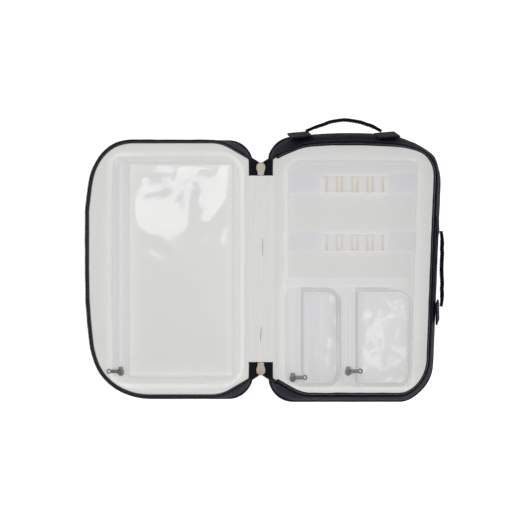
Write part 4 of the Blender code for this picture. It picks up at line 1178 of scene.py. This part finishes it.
WELD_WIDE, WELD_HIGH = 1.3, 0.35
for number, (label, (box, zip_in, far)) in enumerate(POUCHES.items()):
    make_bag(label, box, 70 + number)
    film_box = (box[0] + zip_in + far - 1.2, *box[1:])
    seed = 81 + 5 * number
    make_top_film(label, film_box, 5.0 * number, seed)
    outer, inner = film_line(film_box, 0.9, 0.35, seed), film_line(film_box, 3.4, 0.25, seed + 1)
    for which, (line, height) in enumerate(((outer, 18.75), (inner, 18.85))):
        rows = in_back(raised_line(line, WELD_WIDE, WELD_HIGH, height, 8))
        ridge = skin(f"{label}_pouch_weld_{which + 1}", rows, weld_film, around=True, ring=True)
        settle(ridge, "back_half", "clear_vinyl")

# %% [markdown]
# ## The lid's pocket
# The lid is lined by one tall flat pocket. A white cloth border is sewn to the floor and holds a
# film window, bound along its edges with tape, and the zip runs down its free side. From above
# the border is nearly the colour of the lining, and shows by its seams and soft edges.

# %% Border
POCKET = (8.0, 142.0, -119.5, 117.0)
POCKET_CORNERS = (18.0, 13.0, 9.0, 18.0)
OPENING = (14.0, 139.0, -113.5, 111.0)
OPENING_CORNERS = (12.0, 6.0, 3.0, 12.0)
POCKET_TAPE_LOW = 13.2
rows = []
for share, height in (
    (-0.02, 8.2), (0.0, 9.6), (0.03, 11.4), (0.10, 12.8), (0.22, 13.5), (0.45, 13.75), (0.75, 13.8),
    (1.0, 13.7),
):
    outer = rounded(POCKET, POCKET_CORNERS)
    line = outer + (rounded(OPENING, OPENING_CORNERS) - outer) * share
    soft = 0.28 * ripple(level(line, height), 12, 91) * math.sin(math.pi * min(max(share, 0.05), 0.8))
    rows.append(level(line + outwards(line) * soft[:, None] * 0.6, height + soft * 0.5))
border = skin("pocket_border", in_lid(np.array(rows)), lining_cloth, around=True, thick=0.7, facing="up")
settle(border, "lid", "white_lining", "lid_pocket_frame")

# %% Zip, window and its bindings
ZIP_MIDDLE = 132.0
small_zip(
    "lid_pocket", flat_in_lid, ZIP_MIDDLE, 6.7, 6.7, OPENING[2] + 0.6, OPENING[3] - 0.6,
    POCKET_TAPE_LOW, (0.0, 2.5), "lid", "lid_pocket_zip",
)
WINDOW = (12.4, 126.9, -115.1, 112.6)
WINDOW_Z = 14.35


def window_height(spots):
    """Slow waves and small dents, strongest towards the top, where the film is slack."""
    u, v = spots[:, 0], spots[:, 1]
    edge = np.minimum.reduce([u - WINDOW[0], WINDOW[1] - u, v - WINDOW[2], WINDOW[3] - v])
    slack = 0.25 + 0.75 * eased((v - 15) / 60)
    waves = 1.15 * ripple(spots, 40, 95) + 0.42 * ripple(spots, 17, 96) + 0.10 * ripple(spots, 7, 97)
    return WINDOW_Z + eased(edge / 10) * (0.5 + waves * slack)


rows = []
for v in np.linspace(WINDOW[2], WINDOW[3], 110):
    u = np.linspace(WINDOW[0], WINDOW[1], 60)
    spots = np.stack([u, np.full(60, v), np.zeros(60)], 1)
    rows.append(np.stack([u, np.full(60, v), window_height(spots)], 1))
window = skin("pocket_window_film", flat_in_lid(np.array(rows)), window_film, thick=0.3, facing="up")
settle(window, "lid", "clear_vinyl", "lid_pocket_window")

BINDING, BINDING_CORNERS = (15.4, 124.2, -112.2, 109.6), (3.0, 1.0, 1.0, 3.0)
line = rounded(BINDING, BINDING_CORNERS)
rows = raised_line(line, 3.8, 0.42, 14.85, 10, 0.12 * ripple(level(line, 0), 14, 98))
binding = skin("window_binding", flat_in_lid(rows), binding_cloth, around=True, ring=True)
settle(binding, "lid", "white_lining")
for number, inset in enumerate((1.2, -1.1)):
    line = flat_in_lid(closed_line(rounded(*drawn_in(BINDING, BINDING_CORNERS, inset)), 15.2))
    stitches = seam(f"window_binding_seam_{number + 1}", line, white_thread, 2.8, 0.36)
    settle(stitches, "lid", "white_lining")
border_line = in_lid(closed_line(rounded(*drawn_in(POCKET, POCKET_CORNERS, 2.6)), 13.85))
settle(seam("pocket_border_seam", border_line, white_thread, 3.0, 0.4), "lid", "white_lining")

# %% [markdown]
# ## Sliders and pulls
# A slider is two plates joined by a post at the nose, with a small bail on top that holds the
# pull. The plates and the pull are flat shapes with holes, so each is drawn as a filled curve,
# given a thickness and rounded edges, and turned into a mesh. The bail is half of a ring.

# %% Metals


def metal(name, colour, roughness, metallic, wear):
    """Plated metal with fine brushing and paler worn patches."""
    made, tree, shader = start_finish(name, roughness, Metallic=metallic)
    place = add(tree, "ShaderNodeTexCoord").outputs["Object"]
    cloud = add(tree, "ShaderNodeTexNoise", {"Vector": place, "Scale": 350.0, "Detail": 5.0})
    worn = tuple(min(part * wear, 1) for part in colour)
    inputs = {0: cloud.outputs["Fac"], 6: (*colour, 1), 7: (*worn, 1)}
    mixed = add(tree, "ShaderNodeMix", inputs, data_type="RGBA")
    tree.links.new(mixed.outputs[2], shader.inputs["Base Color"])
    brush = add(tree, "ShaderNodeMapping", {"Vector": place, "Scale": (6000.0, 500.0, 6000.0)})
    lines = add(tree, "ShaderNodeTexNoise", {"Vector": brush.outputs["Vector"], "Scale": 1.0})
    inputs = {"Height": lines.outputs["Fac"], "Distance": 0.015 * MM, "Strength": 0.4}
    bump = add(tree, "ShaderNodeBump", inputs)
    tree.links.new(bump.outputs["Normal"], shader.inputs["Normal"])
    return made


champagne = metal("champagne_plating", (0.60, 0.54, 0.45), 0.42, 0.35, 1.2)
gunmetal = metal("gunmetal_plating", (0.23, 0.23, 0.22), 0.36, 0.85, 1.5)

# %% Flat metal shapes


def smooth_ring(points, rounds):
    """Cuts the corners off a closed outline, so that it runs in soft curves."""
    points = np.array(points, float)
    for _ in range(rounds):
        ahead = np.roll(points, -1, 0)
        cut = np.stack([points * 0.75 + ahead * 0.25, points * 0.25 + ahead * 0.75], 1)
        points = cut.reshape(-1, 2)
    return points


def bar_ring(low_half, high_half, low, high, rounds):
    """A bar along Y with soft corners, from its half width at each end."""
    corners = [(-low_half, low), (low_half, low), (high_half, high), (-high_half, high)]
    return smooth_ring(corners, rounds)


def flat_metal(name, outlines, low, high, finish, soft):
    """A flat shape with holes between two heights, with rounded edges."""
    curve = bpy.data.curves.new(name, "CURVE")
    curve.dimensions = "2D"
    curve.fill_mode = "BOTH"
    for points in outlines:
        spline = curve.splines.new("POLY")
        spline.points.add(len(points) - 1)
        for corner, (x, y) in zip(spline.points, points, strict=True):
            corner.co = (x * MM, y * MM, 0, 1)
        spline.use_cyclic_u = True
    curve.extrude = (high - low) * MM / 2 - soft * MM
    curve.bevel_depth = soft * MM
    curve.bevel_resolution = 2
    curve.offset = -soft * MM
    piece = bpy.data.objects.new(name, curve)
    piece.location.z = (low + high) * MM / 2
    bpy.context.scene.collection.objects.link(piece)
    use(piece)
    bpy.ops.object.convert(target="MESH")
    bpy.ops.object.transform_apply(location=True)
    piece.data.materials.clear()
    piece.data.materials.append(finish)
    return piece


def joined(name, pieces):
    """Several meshes as one piece, with doubles merged and faces outwards."""
    deselect()
    for piece in pieces:
        piece.select_set(True)
    bpy.context.view_layer.objects.active = pieces[0]
    bpy.ops.object.join()
    made = bpy.context.object
    made.name = made.data.name = name
    bpy.ops.object.mode_set(mode="EDIT")
    bpy.ops.mesh.select_all(action="SELECT")
    bpy.ops.mesh.remove_doubles(threshold=0.005 * MM)
    bpy.ops.mesh.normals_make_consistent(inside=False)
    bpy.ops.object.mode_set(mode="OBJECT")
    bpy.ops.object.shade_smooth_by_angle(angle=math.radians(35))
    return made


def put(piece, matrix):
    """Moves a mesh to its place, and leaves its object at the origin."""
    piece.data.transform(matrix)
    piece.data.update()
    return piece


# %% A slider
BAIL_RISE = 0.95  # from the plate up to the axis of the bail and the pull
SLIDER_SHAPE = (
    (0.00, 0.500), (0.20, 0.480), (0.34, 0.400), (0.47, 0.260), (0.50, 0.080), (0.46, -0.080),
    (0.38, -0.220), (0.345, -0.330), (0.36, -0.440), (0.30, -0.500), (0.0, -0.505),
)


def slider_ring(length, width):
    right = [(x * width, y * length) for x, y in SLIDER_SHAPE]
    return smooth_ring(right + [(-x, y) for x, y in right[-2:0:-1]], 2)


def half_ring(radius, thick, wide, finish):
    """A bail: a ring whose lower part is cut away, standing in the XZ plane."""
    deselect()
    bpy.ops.mesh.primitive_torus_add(
        major_segments=32, minor_segments=10, rotation=(math.pi / 2, 0, 0),
        major_radius=radius * MM, minor_radius=thick * MM / 2,
    )
    ring = bpy.context.object
    bpy.ops.object.transform_apply(rotation=True)
    bpy.ops.object.mode_set(mode="EDIT")
    bpy.ops.mesh.select_all(action="SELECT")
    bpy.ops.transform.resize(value=(1, wide / thick, 1))
    bpy.ops.mesh.bisect(plane_co=(0, 0, -0.8 * MM), plane_no=(0, 0, -1), clear_outer=True, use_fill=True)
    bpy.ops.object.mode_set(mode="OBJECT")
    ring.data.materials.append(finish)
    return ring


def make_slider(name, length, width, plate, room, finish, across):
    """A slider with its nose towards +Y and its bail towards +Z. The zip runs through Z 0."""
    shape = slider_ring(length, width)
    outer = flat_metal(f"{name}_outer", [shape], room / 2, room / 2 + plate, finish, plate * 0.28)
    inner = flat_metal(f"{name}_inner", [shape], -room / 2 - plate, -room / 2, finish, plate * 0.28)
    blade = bar_ring(0.28, 0.28, 0.03 * length, 0.42 * length, 1)
    post = flat_metal(f"{name}_post", [blade], -room / 2 - plate / 2, room / 2 + plate / 2, finish, 0.05)
    bail = half_ring(1.4, 0.85, 1.6, finish)
    turn = Matrix.Rotation(0 if across else math.pi / 2, 4, "Z")
    put(bail, Matrix.Translation((0, 0, (room / 2 + plate + BAIL_RISE) * MM)) @ turn)
    ridge_line = bar_ring(0.24 * width, 0.2 * width, -0.34 * length, -0.20 * length, 2)
    low, high = room / 2 + plate * 0.6, room / 2 + plate + 0.22
    ridge = flat_metal(f"{name}_ridge", [ridge_line], low, high, finish, 0.08)
    return joined(name, [outer, inner, post, bail, ridge])


# %% A pull
PULL_THICK = 1.2


def make_pull(name, length, tab, finish):
    """A pull whose bar lies on X at the origin, with its tab towards +Y and an eye at its end."""
    eye, waist = tab / 2, 0.36 * tab
    eye_at = length - eye
    start = math.asin(waist / eye)
    around = start + (2 * math.pi - 2 * start) * np.arange(25) / 24
    end = [(eye * math.sin(turn), eye_at - eye * math.cos(turn)) for turn in around]
    side = [(-2.3, -0.5), (-1.9, -0.6), (1.9, -0.6), (2.3, -0.5), (2.3, 3.0), (1.9, 3.35), (waist, 4.1)]
    shape = side + end + [(-waist, 4.1), (-1.9, 3.35), (-2.3, 3.0)]
    hole = smooth_ring([(-1.25, 0.6), (-1.25, 2.3), (1.25, 2.3), (1.25, 0.6)], 1)
    turns = 2 * math.pi * np.arange(24) / 24
    eye_hole = np.stack([0.52 * eye * np.cos(turns), eye_at + 0.52 * eye * np.sin(turns)], 1)
    half = PULL_THICK / 2
    tab_piece = flat_metal(f"{name}_tab", [shape, hole, eye_hole], -half, half, finish, 0.22)
    deselect()
    bpy.ops.mesh.primitive_torus_add(
        major_segments=32, minor_segments=8, location=(0, eye_at * MM, 0),
        major_radius=0.72 * eye * MM, minor_radius=0.26 * eye * MM,
    )
    rim = bpy.context.object
    bpy.ops.object.transform_apply(location=True)
    rim.data.materials.append(finish)
    inset = bar_ring(waist * 0.55, waist * 0.55, 4.9, eye_at - eye - 0.4, 1)
    bar = flat_metal(f"{name}_raised", [inset], -half - 0.15, half + 0.15, finish, 0.08)
    return joined(name, [tab_piece, rim, bar])


# %% Small sliders and pulls
SMALL = {"length": 9.4, "width": 6.8, "plate": 0.8, "room": 2.1}
PULL_REST = math.radians(-7)  # the tab's end sinks towards the film

for label, way in (("left_pouch", -1), ("right_pouch", -1), ("lid_pocket", 1)):
    low, high = box_of(f"{label}_slider")
    at = (low + high) / 2
    zip_z = low[2] + SMALL["plate"] + SMALL["room"] / 2
    slider = make_slider(f"{label}_zip_slider", **SMALL, finish=gunmetal, across=True)
    put(slider, Matrix.Translation(Vector((at[0], at[1], zip_z)) * MM) @ Matrix.Rotation(math.pi, 4, "Z"))
    settle(slider, f"{label}_slider", "gunmetal", f"{label}_slider")
    axis_z = zip_z + SMALL["room"] / 2 + SMALL["plate"] + BAIL_RISE
    pull = make_pull(f"{label}_zip_pull", 15.0, 5.2, gunmetal)
    turn = Matrix.Rotation(way * math.pi / 2, 4, "Z") @ Matrix.Rotation(PULL_REST, 4, "X")
    put(pull, Matrix.Translation(Vector((at[0], at[1], axis_z)) * MM) @ turn)
    settle(pull, f"{label}_pull", "gunmetal", f"{label}_pull")

# %% Main sliders and pulls
MAIN = {"length": 13.4, "width": 9.4, "plate": 1.1, "room": 2.0}
for label, turn in (("top", 0.0), ("bottom", math.pi)):
    low, high = box_of(f"{label}_main_slider")
    at = (low + high) / 2
    zip_z = high[2] - MAIN["plate"] - MAIN["room"] / 2
    stand = Matrix.Translation(Vector((at[0], at[1], zip_z)) * MM)
    stand = stand @ Matrix.Rotation(turn, 4, "Z") @ Matrix.Rotation(math.pi, 4, "Y")
    slider = put(make_slider(f"{label}_case_slider", **MAIN, finish=champagne, across=False), stand)
    settle(slider, "spine", "champagne_metal", f"{label}_main_slider")
    axis = MAIN["room"] / 2 + MAIN["plate"] + BAIL_RISE
    hang = stand @ Matrix.Translation((0, 0, axis * MM)) @ Matrix.Rotation(math.pi / 2, 4, "X")
    pull = put(make_pull(f"{label}_case_pull", 18.5, 6.6, champagne), hang)
    settle(pull, f"{label}_pull", "champagne_metal", f"{label}_main_pull")

# %% [markdown]
# ## Handles
# Both handles are a strip of heavy webbing folded in two along its length and sewn shut. It is
# swept along a smooth arch, with a section that is round at the fold and thinner at the sewn
# edge, and pinched where it meets its anchors. The anchors are flat tabs held by a box of
# stitches with a cross in it, which is how a load is spread on cloth.

# %% Handle grips


def grip_from(node, along_axis, out_axis, peak_shift, kink):
    """A folded strap swept along the frame's own arch, with its highest place moved a little."""
    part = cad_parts[node]
    corners = np.array([corner.co for corner in part.data.vertices]) / MM
    low, high = corners.min(0), corners.max(0)
    span = np.linspace(low[along_axis], high[along_axis], 70)
    slots = np.linspace(low[along_axis], high[along_axis], 18)
    centres = []
    for near in slots:
        close = np.abs(corners[:, along_axis] - near) < (slots[1] - slots[0]) * 0.75
        centres.append(corners[close].mean(0))
    centres = np.array(centres)
    line = np.stack([np.interp(span, centres[:, along_axis], centres[:, axis]) for axis in range(3)], 1)
    share = (span - low[along_axis]) / (high[along_axis] - low[along_axis])
    hump = np.sin(math.pi * share)
    line[:, along_axis] += peak_shift * hump
    for centre, width, amount in kink:
        line[:, out_axis] += amount * np.exp(-(((share - centre) / width) ** 2)) * hump
    for _ in range(2):
        line[1:-1] = (line[:-2] + 2 * line[1:-1] + line[2:]) / 4
    return line, share


def make_grip(name, node, along_axis, out_axis, peak_shift, kink, seed):
    line, share = grip_from(node, along_axis, out_axis, peak_shift, kink)
    along = np.gradient(line, axis=0)
    along /= np.linalg.norm(along, axis=1, keepdims=True)
    tall = np.zeros_like(line)
    tall[:, 2] = 1.0
    out = np.cross(along, tall)
    out /= np.linalg.norm(out, axis=1, keepdims=True)
    tall = np.cross(out, along)
    opened = np.clip(np.minimum(share, 1 - share) / 0.15, 0, 1)
    height = 4.4 + 6.6 * eased(opened)
    rows = []
    for turn in np.arange(24) * 2 * math.pi / 24:
        side, up = math.cos(turn), math.sin(turn)
        square = (abs(side) ** 4 + abs(up) ** 4) ** -0.25
        thick = 1.75 - 0.45 * eased(-up * 0.5 + 0.5) + 0.12 * ripple(line + 5 * up, 9, seed)
        across, rise = side * square * thick, up * square * height / 2
        rows.append(line + out * across[:, None] + tall * rise[:, None])
    rows = np.swapaxes(np.array(rows), 0, 1)
    return skin(name, rows, webbing, around=True, capped=True, smooth=50), line, out, tall, height


GRIPS = (
    ("top_handle", 0, 1, 2.5, ((0.30, 0.08, 0.5), (0.46, 0.10, 0.7), (0.86, 0.06, 1.1)), 101),
    ("side_handle", 1, 0, 0.0, ((0.3, 0.1, 0.3), (0.5, 0.4, -2.4), (0.75, 0.12, 0.4)), 102),
)
for label, along_axis, out_axis, peak_shift, kink, seed in GRIPS:
    grip, line, out, tall, height = make_grip(
        f"{label}_strap", f"{label}_grip", along_axis, out_axis, peak_shift, kink, seed
    )
    settle(grip, label, "navy_webbing", f"{label}_grip")
    for number, side in enumerate((1, -1)):
        path = line + out * (side * 1.62) - tall * (height * 0.26)[:, None]
        spots, ways = evenly(path[8:-8], 3.0)
        ups, _ = evenly((path + tall * 2)[8:-8], 3.0)
        count = min(len(spots), len(ups))
        matrices = [turned(spots[i], ways[i], ups[i] - spots[i]) for i in range(count)]
        stitches = repeat(f"{label}_seam_{number + 1}", one_loop(2.3, 0.5), matrices, navy_thread)
        settle(stitches, label, "navy_webbing")

# %% Handle anchors
TOP_ANCHOR_TURN, TOP_ANCHOR_IN = 0.18, 0.5
ANCHOR_PROFILE = (
    (0.5, -0.9), (0.0, -0.6), (0.0, 0.3), (0.25, 0.7), (0.8, 0.9), (2.5, 0.95), (6.0, 0.95),
)  # inset from the tab's edge, and height off its middle plane


def make_anchor(label, which):
    """A flat tab on the wall, in the plane of the frame's own one, with its stitched box."""
    node = f"{label}_{which}_anchor"
    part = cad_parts[node].data
    corners = np.array([corner.co for corner in part.vertices]) / MM
    middle = (corners.min(0) + corners.max(0)) / 2
    spread = corners - corners.mean(0)
    axes = np.linalg.svd(spread, full_matrices=False)[2]
    out = axes[2] if axes[2] @ (middle - np.array((0, 0, middle[2]))) > 0 else -axes[2]
    along = axes[0] if abs(axes[0][2]) < abs(axes[1][2]) else axes[1]
    if label == "top_handle":  # the wall is fuller there than the frame's flat one
        out = out - np.array((0, 0, 1)) * TOP_ANCHOR_TURN
        out /= np.linalg.norm(out)
        middle = middle - out * TOP_ANCHOR_IN
    up = np.cross(out, along)
    half_long = np.abs(spread @ along).max()
    half_tall = np.abs(spread @ up).max()
    rows = []
    for inset, lift in ANCHOR_PROFILE:
        box = (-half_long + inset, half_long - inset, -half_tall + inset, half_tall - inset)
        line = rounded(box, (max(1.8 - inset, 0.5),) * 4)
        swell = 0.18 * ripple(level(line, lift), 6, 111) if inset > 2 else np.zeros(len(line))
        rows.append(middle + line[:, :1] * along + line[:, 1:] * up + (lift + swell)[:, None] * out)
    tab = skin(f"{node}_tab", np.array(rows), webbing, around=True, capped=True, smooth=50)
    settle(tab, "back_half", "navy_webbing", node)
    a, b = half_long - 2.4, half_tall - 2.4
    path = [(-a, -b), (a, -b), (a, b), (-a, b), (-a, -b), (a, b), (a, -b), (-a, b)]
    line = np.array([middle + x * along + y * up + 1.15 * out for x, y in path])
    spots, ways = evenly(line, 2.2)
    matrices = [turned(spot, way, np.cross(out, way)) for spot, way in zip(spots, ways, strict=True)]
    cross = repeat(f"{node}_stitches", one_loop(1.8, 0.45), matrices, navy_thread)
    settle(cross, "back_half", "navy_webbing")


for label in ("top_handle", "side_handle"):
    for which in ("first", "second"):
        make_anchor(label, which)

# %% [markdown]
# ## What is left of the frame
# Only the stiffener in the spine still shows as the frame made it, between its two cloths. It
# keeps its shape and takes the same grey board finish as the others.

# %% Finishes for the frame's own pieces
for name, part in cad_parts.items():
    if not part.hide_render:
        for slot in part.material_slots:
            slot.material = board_finish
        print("kept", name)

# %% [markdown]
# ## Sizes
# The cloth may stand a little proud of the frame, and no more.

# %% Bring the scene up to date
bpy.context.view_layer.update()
